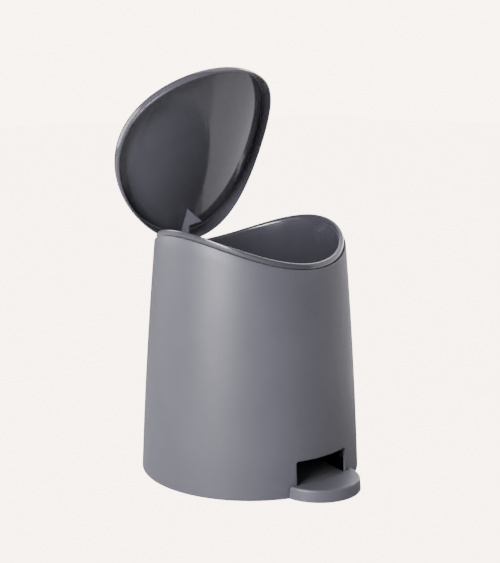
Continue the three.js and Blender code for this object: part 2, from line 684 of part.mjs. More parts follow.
function pushRod() {
  const upper = rodJaw(ROD_TOP_Z);
  const lower = rodJaw(ROD_FOOT_Z);
  const stem = block(
    ROD_LEFT, ROD_RIGHT, ROD_Y - ROD_WIDTH / 2, ROD_Y + ROD_WIDTH / 2, ROD_FOOT_Z, ROD_TOP_Z);
  return cut(join(stem, upper.head, lower.head), upper.slot, lower.slot);
}

/** Bracket with a window that the rod slides through. */
function rodGuide(z) {
  const gap = SIDE_GAP / 2;
  const front = ROD_Y - ROD_WIDTH / 2 - gap - GUIDE_WALL;
  const back = GUIDE_BACK - SEAT_GAP;
  const left = ROD_LEFT - gap - GUIDE_WALL;
  const right = ROD_RIGHT + gap + GUIDE_WALL;
  const body = roundedBox(left, front, right, back, GUIDE_CORNER);
  const half = GUIDE_HEIGHT / 2;
  const passage = block(
    ROD_LEFT - gap, ROD_RIGHT + gap, front + GUIDE_WALL, ROD_Y + ROD_WIDTH / 2 + gap,
    z - half - OVERCUT, z + half + OVERCUT);
  return cut(prismZ(body, z - half, z + half), passage);
}

// ---------------------------------------------------------------- pedal

/** Side view of the lever: flat neck, rise to the hub, slim arm to the peg. */
function leverSide(drop, sole) {
  const neckEnd = -BASE_RADIUS + NECK_LENGTH;
  const arm = REAR_ARM_HEIGHT / 2;
  return outline([
    [TREAD_NOSE_Y + TAB_SETBACK, sole], [neckEnd, sole],
    [AXLE_Y, AXLE_Z - HUB_RADIUS - drop], [ROD_Y, ROD_FOOT_Z - arm - drop],
    [ROD_Y + PEG_RADIUS, ROD_FOOT_Z], [ROD_Y, ROD_FOOT_Z + arm - drop],
    [AXLE_Y, AXLE_Z + HUB_RADIUS - drop], [neckEnd, NECK_TOP - drop],
    [TREAD_NOSE_Y + TAB_SETBACK, NECK_TOP - drop],
  ]);
}

/** Plan of the lever from the tab inside the tread back to the rod. */
function leverPlan(inset) {
  const half = [
    [TAB_HALF_WIDTH - inset, TREAD_NOSE_Y + TAB_SETBACK + inset],
    [TAB_HALF_WIDTH - inset, -TREAD_BACK_RADIUS - NECK_LEAD],
    [NECK_HALF_WIDTH - inset, -TREAD_BACK_RADIUS],
    [NECK_HALF_WIDTH - inset, -BASE_RADIUS + NECK_TRAIL],
    [HUB_HALF_WIDTH - inset, AXLE_Y - HUB_LEAD],
    [HUB_HALF_WIDTH - inset, AXLE_Y + HUB_TRAIL],
  ];
  const start = AXLE_Y + REAR_ARM_START;
  const end = ROD_Y + 2 * PEG_RADIUS - inset;
  return outline([
    ...half, [ARM_RIGHT - inset, start], [ARM_RIGHT - inset, end], [ARM_LEFT + inset, end],
    [ARM_LEFT + inset, start], ...half.map(([x, y]) => [-x, y]).reverse(),
  ]);
}

function pedalLever() {
  const body = prismX(leverSide(0, NECK_BOTTOM), -NECK_HALF_WIDTH, NECK_HALF_WIDTH)
    .intersect(prismZ(leverPlan(0), 0, ROD_FOOT_Z * 2));
  const hollow = prismX(leverSide(LEVER_WEB, 0), -NECK_HALF_WIDTH, NECK_HALF_WIDTH)
    .intersect(prismZ(leverPlan(LEVER_WEB), 0, ROD_FOOT_Z * 2));
  const step = disc(TREAD_BACK_RADIUS - SEAT_GAP, 0, NECK_TOP + 2 * OVERCUT, BODY_SEGMENTS);
  const trim = cut(block(
    -NECK_HALF_WIDTH, NECK_HALF_WIDTH, TREAD_NOSE_Y, TREAD_CENTRE_Y,
    TAB_TOP, NECK_TOP + OVERCUT), step);
  const hub = barX(HUB_RADIUS, -HUB_HALF_WIDTH, HUB_HALF_WIDTH, AXLE_Y, AXLE_Z);
  const end = barX(REAR_ARM_HEIGHT / 2, ARM_LEFT, ARM_RIGHT, ROD_Y, ROD_FOOT_Z);
  const peg = barX(PEG_RADIUS, ROD_LEFT - ROOT, ARM_LEFT + ROOT, ROD_Y, ROD_FOOT_Z);
  const bore = barX(AXLE_RADIUS + RUN_GAP, -POST_OUTER, POST_OUTER, AXLE_Y, AXLE_Z);
  const channel = cut(body, hollow, trim);
  return cut(join(channel, hub, end, peg), bore, tabScrewHole(-1), tabScrewHole(1))
    .translate([0, -AXLE_Y, -AXLE_Z]);
}

/** Hole for a tab screw, from below the tab into its boss under the tread. */
function tabScrewHole(side) {
  const top = TREAD_LIFT + TREAD_HEIGHT - TREAD_SKIN / 2;
  return disc(TAB_SCREW_RADIUS + RUN_GAP, -OVERCUT, top, SCREW_SEGMENTS)
    .translate([side * TAB_SCREW_X, TREAD_NOSE_Y + TAB_SCREW_SETBACK, 0]);
}

/** Column of the tread; each level has its inset at the front, its inset at the back, its z. */
function treadColumn(angle, levels) {
  const heartY = TREAD_CENTRE_Y - TREAD_HEART * TREAD_RADIUS;
  const ray = point(Math.cos(angle), Math.sin(angle), 0);
  const place = ([frontInset, backInset, z]) => {
    const front = TREAD_RADIUS - frontInset;
    const back = TREAD_BACK_RADIUS + backInset;
    const offset = heartY - TREAD_CENTRE_Y;
    const along = ray.y * offset;
    const toFront = -along + Math.sqrt(along ** 2 - offset ** 2 + front ** 2);
    const inward = ray.y * heartY;
    const hit = inward ** 2 - heartY ** 2 + back ** 2;
    const toBack = ray.y > 0 && hit > 0 ? -inward - Math.sqrt(hit) : Infinity;
    const length = Math.min(toFront, toBack);
    return point(ray.x * length, heartY + ray.y * length, z);
  };
  const low = levels[0][2];
  const high = levels[levels.length - 1][2];
  return [point(0, heartY, low), ...levels.map(place), point(0, heartY, high)];
}

function pedalTread() {
  const low = TREAD_LIFT;
  const top = low + TREAD_HEIGHT;
  const turn = TREAD_SHOULDER * (1 - Math.SQRT1_2);
  const shell = skin((angle) => treadColumn(angle, [
    [0, 0, low], [TREAD_FLARE, 0, top - TREAD_SHOULDER],
    [TREAD_FLARE + turn, TREAD_BACK_ROUND / 3, top - turn],
    [TREAD_FLARE + TREAD_SHOULDER, TREAD_BACK_ROUND, top],
  ]), BODY_SEGMENTS, false);
  const hollow = skin((angle) => treadColumn(angle, [
    [TREAD_SKIN, TREAD_SKIN, low - OVERCUT], [TREAD_SKIN + TREAD_FLARE, TREAD_SKIN, TREAD_CEILING],
  ]), BODY_SEGMENTS, false);
  const gate = NECK_HALF_WIDTH + SEAT_GAP;
  const doorway = block(
    -gate, gate, -TREAD_BACK_RADIUS - TREAD_SKIN - OVERCUT, -TREAD_BACK_RADIUS / 2,
    low - OVERCUT, TREAD_CEILING);
  const bosses = [-1, 1].map((side) => disc(TAB_BOSS_RADIUS, TAB_TOP + SEAT_GAP, top - ROOT)
    .translate([side * TAB_SCREW_X, TREAD_NOSE_Y + TAB_SCREW_SETBACK, 0]));
  const body = join(cut(shell, hollow, doorway), ...bosses);
  return cut(body, tabScrewHole(-1), tabScrewHole(1)).translate([0, -AXLE_Y, -AXLE_Z]);
}

const pedalAxle = () => pinX(
  AXLE_RADIUS, -POST_OUTER - AXLE_OVERHANG, POST_OUTER + AXLE_OVERHANG, AXLE_Y, AXLE_Z);

/** Push-on clip that keeps the axle in its posts. */
function axleClip(side) {
  const inner = POST_OUTER + SEAT_GAP;
  const outer = inner + CLIP_THICKNESS;
  const [left, right] = side < 0 ? [-outer, -inner] : [inner, outer];
  return cut(
    barX(AXLE_RADIUS + CLIP_WALL, left, right, AXLE_Y, AXLE_Z),
    barX(AXLE_RADIUS + RUN_GAP, left - OVERCUT, right + OVERCUT, AXLE_Y, AXLE_Z));
}

// ---------------------------------------------------------------- assembly

const moulded = (color, roughness) =>
  new THREE.MeshStandardMaterial({ color, roughness, metalness: 0 });
const finishes = {
  shell: moulded(0x555558, 0.38),
  lid: moulded(0x535356, 0.34),
  liner: moulded(0x515155, 0.3),
  lever: moulded(0x46464a, 0.45),
  rod: moulded(0x525255, 0.5),
  hidden: moulded(0x343436, 0.55),
  rubber: moulded(0x272728, 0.9),
  steel: new THREE.MeshStandardMaterial({ color: 0xcfd0d2, roughness: 0.3, metalness: 1 }),
};

function addPiece(parent, name, body, finish) {
  const { numProp, vertProperties, triVerts } = body.getMesh();
  const places = [];
  for (let i = 0; i < vertProperties.length; i += numProp) {
    places.push(vertProperties[i], vertProperties[i + 1], vertProperties[i + 2]);
  }
  const geometry = new THREE.BufferGeometry();
  geometry.setAttribute('position', new THREE.Float32BufferAttribute(places, 3));
  geometry.setIndex([...triVerts]);
  geometry.computeVertexNormals();
  const mesh = new THREE.Mesh(geometry, finish);
  mesh.name = name;
  parent.add(mesh);
  return mesh;
}

function addBase(bin) {
  addPiece(bin, 'outer_shell', outerShell(), finishes.shell);
  addPiece(bin, 'base_plate', basePlate(), finishes.hidden);
  FASTENER_ANGLES.forEach((degrees, i) => {
    const [x, y] = atAngle(degrees, FASTENER_CIRCLE);
    const [u, v] = atAngle(degrees, PAD_CIRCLE);
    const body = screw(SCREW_RADIUS, SCREW_HEAD_RADIUS, SCREW_HEAD_HEIGHT, SCREW_LENGTH);
    addPiece(bin, `base_screw_${i + 1}`, body, finishes.steel).position.set(x, y, RUN_GAP);
    addPiece(bin, `grip_pad_${i + 1}`, gripPad(), finishes.rubber).position.set(u, v, 0);
  });
  addPiece(bin, 'rod_guide_lower', rodGuide(GUIDE_LOWER_Z), finishes.hidden);
  addPiece(bin, 'rod_guide_upper', rodGuide(GUIDE_UPPER_Z), finishes.hidden);
}

function addPedal(bin) {
  const pivot = new THREE.Group();
  pivot.position.set(0, AXLE_Y, AXLE_Z);
  addPiece(pivot, 'pedal_lever', pedalLever(), finishes.lever);
  addPiece(pivot, 'pedal_tread', pedalTread(), finishes.shell);
  [-1, 1].forEach((side, i) => {
    const seat = TAB_TOP - LEVER_WEB - SEAT_GAP;
    const length = TREAD_CEILING - seat;
    const body = screw(TAB_SCREW_RADIUS, TAB_SCREW_HEAD, TAB_SCREW_HEAD_HEIGHT, length);
    addPiece(pivot, `tread_screw_${i + 1}`, body, finishes.steel).position.set(
      side * TAB_SCREW_X, TREAD_NOSE_Y + TAB_SCREW_SETBACK - AXLE_Y,
      seat - TAB_SCREW_HEAD_HEIGHT - AXLE_Z);
  });
  bin.add(pivot);
  addPiece(bin, 'pedal_axle', pedalAxle(), finishes.steel);
  addPiece(bin, 'axle_clip_left', axleClip(-1), finishes.steel);
  addPiece(bin, 'axle_clip_right', axleClip(1), finishes.steel);
}

function addLid(bin) {
  const pivot = new THREE.Group();
  pivot.position.set(0, HINGE_Y, HINGE_Z);
  pivot.rotation.x = -LID_OPEN;
  addPiece(pivot, 'lid', lid(), finishes.lid);
  bin.add(pivot);
  addPiece(bin, 'hinge_pin', hingePin(), finishes.steel);
}

const bin = new THREE.Group();
addBase(bin);
addPiece(bin, 'inner_bucket', innerBucket(), finishes.liner);
addPedal(bin);
addPiece(bin, 'push_rod', pushRod(), finishes.rod);
addLid(bin);

export default bin;
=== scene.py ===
"""Pedal trash can: a round moulded shell, a lift-out bucket, a hinged lid, a push rod and a pedal."""

import json
import logging
import math
from dataclasses import dataclass
from enum import Enum
from typing import Callable, Optional, Sequence, Union

import bmesh
import bpy
from mathutils import Matrix, Vector


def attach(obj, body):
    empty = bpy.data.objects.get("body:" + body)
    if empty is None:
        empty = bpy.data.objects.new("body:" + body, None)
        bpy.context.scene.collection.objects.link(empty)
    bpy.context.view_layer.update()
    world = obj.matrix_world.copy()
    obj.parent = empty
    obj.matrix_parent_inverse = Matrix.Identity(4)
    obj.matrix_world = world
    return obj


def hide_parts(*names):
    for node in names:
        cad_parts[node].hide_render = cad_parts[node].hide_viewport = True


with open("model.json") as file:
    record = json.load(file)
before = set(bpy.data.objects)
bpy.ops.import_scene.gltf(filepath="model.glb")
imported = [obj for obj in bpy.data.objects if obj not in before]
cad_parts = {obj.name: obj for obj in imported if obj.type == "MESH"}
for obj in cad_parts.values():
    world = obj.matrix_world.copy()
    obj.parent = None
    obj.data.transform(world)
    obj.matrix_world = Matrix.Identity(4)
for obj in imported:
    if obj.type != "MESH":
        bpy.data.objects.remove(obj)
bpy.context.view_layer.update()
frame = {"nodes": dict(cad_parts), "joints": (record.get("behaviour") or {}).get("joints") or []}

MM = 0.001
MERGE_GAP = 2e-7  # metres within which two vertices become one
SHARP_BEND = 32.0  # degrees above which an edge of a fresh mesh stays sharp
CUT_BEND = 30.0  # the same after the cuts in a piece
HARD_BEND = 40.0  # degrees above which soften() rounds an edge
ROUNDING_STEPS = 2  # faces across a rounded edge
SEGMENTS = 240  # columns round a turned piece
BAR_SIDES = 48  # faces round a bar along X
POST_SIDES = 24  # faces round an upright post
OVERRUN = 1.0  # millimetres that a cutting shape reaches past what it cuts

Pair = tuple[float, float]
Triple = tuple[float, float, float]
Column = list[Vector]
Piece = bpy.types.Object
Socket = bpy.types.NodeSocket
Inputs = dict[Union[str, int], object]

log = logging.getLogger("pedal_can")


class Join(Enum):
    """How two closed meshes are combined."""

    ADD = "UNION"
    CUT = "DIFFERENCE"
    KEEP_COMMON = "INTERSECT"


# ---- shape shared by the round pieces


@dataclass(frozen=True)
class CanForm:
    """Barrel shape of the body and the saddle that its edge follows. Lengths are in millimetres."""

    base_radius: float = 100.0
    taper: float = 9.8
    barrel: float = 5.35
    profile_height: float = 220.0
    rim_low: float = 193.5
    saddle_radius: float = 148.8
    edge_passes: int = 6

    def saddle(self, x: float) -> float:
        """Rise of the edge at a distance from the middle plane."""
        return self.saddle_radius - math.sqrt(self.saddle_radius**2 - x**2)

    def radius(self, z: float) -> float:
        """Outer radius of the shell at a height."""
        share = z / self.profile_height
        return self.base_radius - self.taper * share - self.barrel * share * share

    def edge(self, angle: float) -> float:
        """Outer radius of the shell where its edge passes an angle, found by closing in on it.

        Args:
            angle: angle round Z, in radians.

        Returns:
            The radius at the edge.
        """
        radius = self.radius(self.rim_low)
        for _ in range(self.edge_passes):
            radius = self.radius(self.rim_low + self.saddle(radius * math.cos(angle)))
        return radius

    def on_saddle(self, angle: float, radius: float, lift: float) -> Vector:
        """Point at a radius and angle, at a height above the saddle."""
        x = radius * math.cos(angle)
        return Vector((x, radius * math.sin(angle), self.rim_low + lift + self.saddle(x)))

    def on_level(self, angle: float, radius: float, z: float) -> Vector:
        """Point at a radius, angle and height."""
        return Vector((radius * math.cos(angle), radius * math.sin(angle), z))

    def saddle_column(self, angle: float, section: Sequence[Pair]) -> Column:
        """Points of a section that is given as radius and height above the saddle."""
        return [self.on_saddle(angle, radius, lift) for radius, lift in section]

    def level_column(self, angle: float, section: Sequence[Pair]) -> Column:
        """Points of a section that is given as radius and height."""
        return [self.on_level(angle, radius, z) for radius, z in section]


def arc(centre: Pair, radius: float, start: float, end: float, steps: int) -> list[Pair]:
    """Points along an arc of so many chords between two angles in degrees, both ends included."""
    angles = [math.radians(start + (end - start) * k / steps) for k in range(steps + 1)]
    return [(centre[0] + radius * math.cos(a), centre[1] + radius * math.sin(a)) for a in angles]


def circle(centre: Pair, radius: float, sides: int) -> list[Pair]:
    """Corners of a circle that has flat sides."""
    return arc(centre, radius, 0, 360 * (sides - 1) / sides, sides - 1)


def spread(first: float, last: float, count: int) -> list[float]:
    """Evenly spaced values, both ends included."""
    return [first + (last - first) * k / (count - 1) for k in range(count)]


# ---- mesh tools


class Draft:
    """Vertices and faces of a mesh in the making, in millimetres."""

    def __init__(self) -> None:
        """Starts an empty mesh."""
        self.points: list[Vector] = []
        self.faces: list[tuple[int, ...]] = []

    def add(self, place: Vector) -> int:
        """Adds a vertex and returns its number."""
        self.points.append(place)
        return len(self.points) - 1

    def add_row(self, places: Sequence[Vector]) -> list[int]:
        """Adds a row of vertices and returns their numbers."""
        return [self.add(place) for place in places]

    def bridge(self, first: Sequence[int], second: Sequence[int], closed: bool = True) -> None:
        """Joins two rows of the same length with quads.

        Args:
            first: vertex numbers of one row.
            second: vertex numbers of the other row.
            closed: whether each row is a loop.
        """
        count = len(first)
        for k in range(count if closed else count - 1):
            after = (k + 1) % count
            self.faces.append((first[k], first[after], second[after], second[k]))

    def skin(self, rows: Sequence[Sequence[int]]) -> None:
        """Joins open rows that stand round an axis, each one to the next."""
        for k, row in enumerate(rows):
            self.bridge(row, rows[(k + 1) % len(rows)], closed=False)

    def piece(self, name: str) -> Piece:
        """Makes the object.

        Args:
            name: name of the object.

        Returns:
            The object, tidied and linked to the scene.
        """
        mesh = bpy.data.meshes.new(name)
        mesh.from_pydata([place * MM for place in self.points], [], self.faces)
        made = bpy.data.objects.new(name, mesh)
        bpy.context.scene.collection.objects.link(made)
        tidy_mesh(made, SHARP_BEND)
        return made


def tidy_mesh(piece: Piece, sharp: float) -> None:
    """Merges doubled vertices, turns the faces outwards and shades the piece smooth.

    Args:
        piece: the object to tidy.
        sharp: edges that bend more than this many degrees stay sharp.
    """
    draft = bmesh.new()
    draft.from_mesh(piece.data)
    bmesh.ops.remove_doubles(draft, verts=draft.verts, dist=MERGE_GAP)
    bmesh.ops.recalc_face_normals(draft, faces=draft.faces)
    draft.to_mesh(piece.data)
    draft.free()
    piece.data.shade_smooth()
    piece.data.set_sharp_from_angle(angle=math.radians(sharp))


def apply_modifiers(piece: Piece) -> None:
    """Turns the piece's modifiers into its mesh.

    Args:
        piece: object whose modifiers are applied and removed.
    """
    graph = bpy.context.evaluated_depsgraph_get()
    baked = bpy.data.meshes.new_from_object(piece.evaluated_get(graph))
    old = piece.data
    piece.modifiers.clear()
    piece.data = baked
    baked.name = piece.name
    bpy.data.meshes.remove(old)


def combine(piece: Piece, other: Piece, how: Join) -> Piece:
    """Combines two closed meshes into the first one and removes the second.

    Args:
        piece: the object that is kept.
        other: the object that is added, cut away or intersected.
        how: the operation.

    Returns:
        The kept object.
    """
    step = piece.modifiers.new("combine", "BOOLEAN")
    step.operation = how.value
    step.solver = "MANIFOLD"
    step.object = other
    apply_modifiers(piece)
    bpy.data.objects.remove(other)
    return piece


def soften(piece: Piece, width: float) -> None:
    """Rounds the hard edges of a piece, as a mould does, and evens out its shading.

    Args:
        piece: the object.
        width: width of the rounding, in millimetres.
    """
    rounding = piece.modifiers.new("rounding", "BEVEL")
    rounding.width = width * MM
    rounding.segments = ROUNDING_STEPS
    rounding.limit_method = "ANGLE"
    rounding.angle_limit = math.radians(HARD_BEND)
    rounding.use_clamp_overlap = True
    apply_modifiers(piece)
    tidy_mesh(piece, HARD_BEND)
    even = piece.modifiers.new("even", "WEIGHTED_NORMAL")
    even.keep_sharp = True
    apply_modifiers(piece)


def ring(name: str, column: Callable[[float], Column]) -> Piece:
    """Skins columns that stand round an axis.

    Args:
        name: name of the object.
        column: gives the points at an angle in radians, from one end of the axis to the other.

    Returns:
        The object.
    """
    draft = Draft()
    draft.skin([draft.add_row(column(2 * math.pi * k / SEGMENTS)) for k in range(SEGMENTS)])
    return draft.piece(name)


def prism(name: str, ends: Sequence[Column]) -> Piece:
    """Straight prism.

    Args:
        name: name of the object.
        ends: its two ends, as outlines with their corners in the same order.

    Returns:
        The object.
    """
    draft = Draft()
    first, second = [draft.add_row(end) for end in ends]
    draft.bridge(first, second)
    draft.faces += [tuple(first), tuple(reversed(second))]
    return draft.piece(name)


def prism_x(name: str, outline: Sequence[Pair], left: float, right: float) -> Piece:
    """Prism of an outline in Y and Z, from x = left to x = right."""
    return prism(name, [[Vector((x, y, z)) for y, z in outline] for x in (left, right)])


def prism_z(name: str, outline: Sequence[Pair], low: float, high: float) -> Piece:
    """Prism of an outline in X and Y, from z = low to z = high."""
    return prism(name, [[Vector((x, y, z)) for x, y in outline] for z in (low, high)])


def block(name: str, low: Sequence[float], high: Sequence[float]) -> Piece:
    """Rectangular block between two corners."""
    plan = [(low[0], low[1]), (high[0], low[1]), (high[0], high[1]), (low[0], high[1])]
    return prism_z(name, plan, low[2], high[2])


def bar_x(name: str, centre: Pair, radius: float, left: float, right: float) -> Piece:
    """Round bar from x = left to x = right, round an axis at a y and z."""
    return prism_x(name, circle(centre, radius, BAR_SIDES), left, right)


def post(name: str, centre: Pair, radius: float, low: float, high: float) -> Piece:
    """Upright round post from z = low to z = high, round an axis at an x and y."""
    return prism_z(name, circle(centre, radius, POST_SIDES), low, high)


def rounded_plan(low: Pair, high: Pair, radius: float, steps: int = 8) -> list[Pair]:
    """Outline of a rectangle with rounded corners.

    Args:
        low: lowest corner.
        high: highest corner.
        radius: radius of its corners.
        steps: chords in each corner.

    Returns:
        The outline, anticlockwise.
    """
    left, right = low[0] + radius, high[0] - radius
    front, back = low[1] + radius, high[1] - radius
    corners = [((right, front), -90), ((right, back), 0), ((left, back), 90), ((left, front), 180)]
    return [spot for centre, start in corners for spot in arc(centre, radius, start, start + 90, steps)]


# ---- finishes


@dataclass(frozen=True)
class Noise:
    """Noise pattern in the object's own space."""

    scale: float  # bumps per metre
    octaves: float = 2.0
    stretch: Triple = (1.0, 1.0, 1.0)  # scale along each axis, for streaks
    span: Pair = (0.3, 0.7)  # noise values between which a quantity changes


@dataclass(frozen=True)
class Relief:
    """Fine bumps."""

    pattern: Noise
    depth: float  # millimetres
    show: float  # share of the depth that shows


class NodeBoard:
    """Nodes of a material or of the world in the making."""

    def __init__(self, owner: Union[bpy.types.Material, bpy.types.World]) -> None:
        """Takes up a node tree.

        Args:
            owner: the new material or world that it belongs to.
        """
        owner.use_nodes = True
        self.nodes = owner.node_tree.nodes
        self.links = owner.node_tree.links

    def fill(self, node: bpy.types.Node, inputs: Inputs) -> None:
        """Links or sets inputs of a node.

        Args:
            node: the node.
            inputs: a socket to link, a value to set, or None to leave an input as it is.
        """
        for name, value in inputs.items():
            if isinstance(value, Socket):
                self.links.new(value, node.inputs[name])
            elif value is not None:
                node.inputs[name].default_value = value

    def node(self, kind: str, inputs: Inputs, **settings: str) -> bpy.types.Node:
        """Adds a node.

        Args:
            kind: its type.
            inputs: its inputs, as fill() takes them.
            settings: its own settings.

        Returns:
            The node.
        """
        made = self.nodes.new(kind)
        for name, value in settings.items():
            setattr(made, name, value)
        self.fill(made, inputs)
        return made

    def split_view(self, plain: Socket, shown: Socket, share: float, output: str) -> None:
        """Ends the tree with one shader for the camera and one for all other rays.

        Args:
            plain: shader that all other rays meet.
            shown: shader that the camera sees.
            share: how much of it the camera sees, over the plain one.
            output: name of the tree's output node.
        """
        ray = self.node("ShaderNodeLightPath", {}).outputs["Is Camera Ray"]
        seen = self.node("ShaderNodeMath", {0: ray, 1: share}, operation="MULTIPLY").outputs["Value"]
        both = self.node("ShaderNodeMixShader", {"Fac": seen, 1: plain, 2: shown})
        self.fill(self.nodes[output], {"Surface": both.outputs["Shader"]})


class MaterialBoard(NodeBoard):
    """Nodes of a material, with its shader and the object's own space to hang patterns in."""

    def __init__(self, name: str) -> None:
        """Starts the material.

        Args:
            name: name of the material.
        """
        self.material = bpy.data.materials.new(name)
        super().__init__(self.material)
        self.shader = self.nodes["Principled BSDF"]
        self.places = self.node("ShaderNodeTexCoord", {}).outputs["Object"]

    def noise(self, pattern: Noise) -> Socket:
        """Value of a noise pattern.

        Args:
            pattern: the noise to read.

        Returns:
            Socket with its value.
        """
        mapping = self.node("ShaderNodeMapping", {"Scale": pattern.stretch, "Vector": self.places})
        return self.node("ShaderNodeTexNoise", {
            "Scale": pattern.scale, "Detail": pattern.octaves,
            "Vector": mapping.outputs["Vector"]}).outputs["Fac"]

    def shift(self, pattern: Noise, low: float, high: float) -> Socket:
        """Goes smoothly from low to high over the span of a noise pattern.

        Args:
            pattern: the noise that drives it.
            low: value at the start of the span.
            high: value at its end.

        Returns:
            Socket with the value.
        """
        span = {"Value": self.noise(pattern), "From Min": pattern.span[0], "From Max": pattern.span[1],
                "To Min": low, "To Max": high}
        return self.node("ShaderNodeMapRange", span, interpolation_type="SMOOTHSTEP").outputs["Result"]

    def tint(self, factor: Socket, first: Triple, second: Triple) -> Socket:
        """Blend of two colours, from the first at 0 to the second at 1."""
        colours = {"A": (*first, 1.0), "B": (*second, 1.0), "Factor": factor}
        return self.node("ShaderNodeMix", colours, data_type="RGBA").outputs["Result"]

    def bump(self, relief: Relief, below: Optional[Socket]) -> Socket:
        """Normal that a relief bends, laid over the one below it.

        Args:
            relief: the pattern, its depth and how strongly it shows.
            below: normal that it lies over, if any.

        Returns:
            Socket with the normal.
        """
        return self.node("ShaderNodeBump", {
            "Distance": relief.depth * MM, "Strength": relief.show,
            "Height": self.noise(relief.pattern), "Normal": below}).outputs["Normal"]


def scaled(colour: Triple, share: float) -> Triple:
    """A colour made lighter or darker."""
    return (colour[0] * share, colour[1] * share, colour[2] * share)


@dataclass(frozen=True)
class Finish:
    """Surface of a piece: clouded colour, uneven roughness, and relief from coarse to fine."""

    name: str
    colour: Triple
    rough: Pair
    shades: Pair
    cloud: Noise
    wear: Noise
    relief: tuple[Relief, ...]
    metallic: float = 0.0
    ior: float = 1.5
    coat: float = 0.0
    coat_rough: float = 0.14

    def material(self) -> bpy.types.Material:
        """Builds the node material.

        Returns:
            The material.
        """
        board = MaterialBoard(self.name)
        darkest, lightest = (scaled(self.colour, share) for share in self.shades)
        normal = None
        for relief in self.relief:
            normal = board.bump(relief, normal)
        board.fill(board.shader, {
            "Base Color": board.tint(board.shift(self.cloud, 0, 1), darkest, lightest),
            "Roughness": board.shift(self.wear, *self.rough), "Normal": normal,
            "Metallic": self.metallic, "IOR": self.ior,
            "Coat Weight": self.coat, "Coat Roughness": self.coat_rough})
        return board.material


@dataclass(frozen=True)
class StudioFloor:
    """Pale matt floor, which the camera sees as an evenly lit sheet."""

    name: str
    colour: Triple = (0.46, 0.445, 0.45)
    cloud: Noise = Noise(3.0)
    shade: float = 0.995
    rough: float = 0.9
    specular: float = 0.1
    glow: float = 8.3
    glow_colour: Triple = (1.0, 0.82, 0.7)
    glow_share: float = 0.93

    def material(self) -> bpy.types.Material:
        """Builds the node material.

        Returns:
            The material.
        """
        board = MaterialBoard(self.name)
        cloud = board.shift(self.cloud, 0, 1)
        board.fill(board.shader, {
            "Base Color": board.tint(cloud, scaled(self.colour, self.shade), self.colour),
            "Roughness": self.rough, "Specular IOR Level": self.specular})
        sheet = board.node(
            "ShaderNodeEmission", {"Color": (*self.glow_colour, 1.0), "Strength": self.glow})
        board.split_view(board.shader.outputs["BSDF"], sheet.outputs["Emission"], self.glow_share,
                         "Material Output")
        return board.material


def moulded(
    name: str, colour: Triple, rough: Pair, waves: float = 0.35, grain: float = 0.25, coat: float = 0.0
) -> Finish:
    """Injection-moulded plastic: soft mottling, handling marks, slight waves and spark-eroded grain.

    Args:
        name: name of the material.
        colour: its colour, linear red, green and blue.
        rough: least and greatest roughness.
        waves: how much of the waves shows.
        grain: how much of the grain shows.
        coat: weight of the gloss over it.

    Returns:
        The finish.
    """
    return Finish(
        name, colour, rough, shades=(0.95, 1.05), cloud=Noise(16, 3), wear=Noise(42, 2, (1.0, 1.0, 0.35)),
        relief=(Relief(Noise(22), 0.12, waves), Relief(Noise(2600), 0.02, grain)), coat=coat)


SHELL_GREY = moulded("shell_plastic", (0.07, 0.069, 0.083), (0.41, 0.46))
LID_GREY = moulded("lid_plastic", (0.06, 0.059, 0.07), (0.1, 0.14), waves=0.06, grain=0.04)
# The bucket is the same grey plastic as the shell. This liner colour is about half as light: painted shade
# that stands in for the shade inside the bucket.
LINER_PAINTED_SHADE_GREY = moulded(
    "liner_plastic", (0.038, 0.037, 0.046), (0.18, 0.24), waves=0.08, grain=0.06, coat=1.0)
ROD_GREY = moulded("rod_plastic", (0.05, 0.05, 0.054), (0.4, 0.55))
LEVER_GREY = moulded("lever_plastic", (0.06, 0.06, 0.066), (0.36, 0.48))
DARK_PLASTIC = moulded("dark_plastic", (0.024, 0.024, 0.026), (0.5, 0.65))
DRAWN_LINES = Noise(900, 3, (0.08, 1.0, 1.0))
STEEL = Finish("steel", (0.55, 0.56, 0.58), (0.25, 0.42), shades=(0.86, 1.0), cloud=Noise(180, 4),
               wear=DRAWN_LINES, relief=(Relief(DRAWN_LINES, 0.02, 0.3),), metallic=1.0)
RUBBER = Finish("rubber", (0.018, 0.018, 0.02), (0.7, 0.9), shades=(1.0, 2.2),
                cloud=Noise(110, 5, span=(0.45, 0.75)), wear=Noise(260, 3),
                relief=(Relief(Noise(1500), 0.05, 0.4),))
FLOOR = StudioFloor("studio_floor")


def dress(piece: Piece, material: bpy.types.Material) -> None:
    """Gives a piece one material."""
    piece.data.materials.clear()
    piece.data.materials.append(material)


def settle(piece: Piece, body: str, material: bpy.types.Material, node: str) -> None:
    """Dresses a finished piece and hands it to its body.

    Args:
        piece: the object.
        body: the body it moves with.
        material: its material.
        node: the CAD node that it stands for.
    """
    dress(piece, material)
    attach(piece, body)
    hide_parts(node)
    log.info("%s: %d faces, %.1f x %.1f x %.1f mm, rides on %s",
             piece.name, len(piece.data.polygons), *(piece.dimensions / MM), body)


def carry(finish: Finish, *nodes: str) -> None:
    """Gives a finish to CAD pieces whose shape is right as it is.

    Args:
        finish: the finish.
        nodes: names of the pieces.
    """
    material = finish.material()
    for name in nodes:
        dress(frame["nodes"][name], material)
        log.info("%s: carried over with %s", name, material.name)


def joint_place(name: str) -> Vector:
    """Place of a joint at rest, in millimetres."""
    joint = next(row for row in frame["joints"] if row["name"] == name)
    return Vector(joint["pos_m"]) / MM


# ---- shell


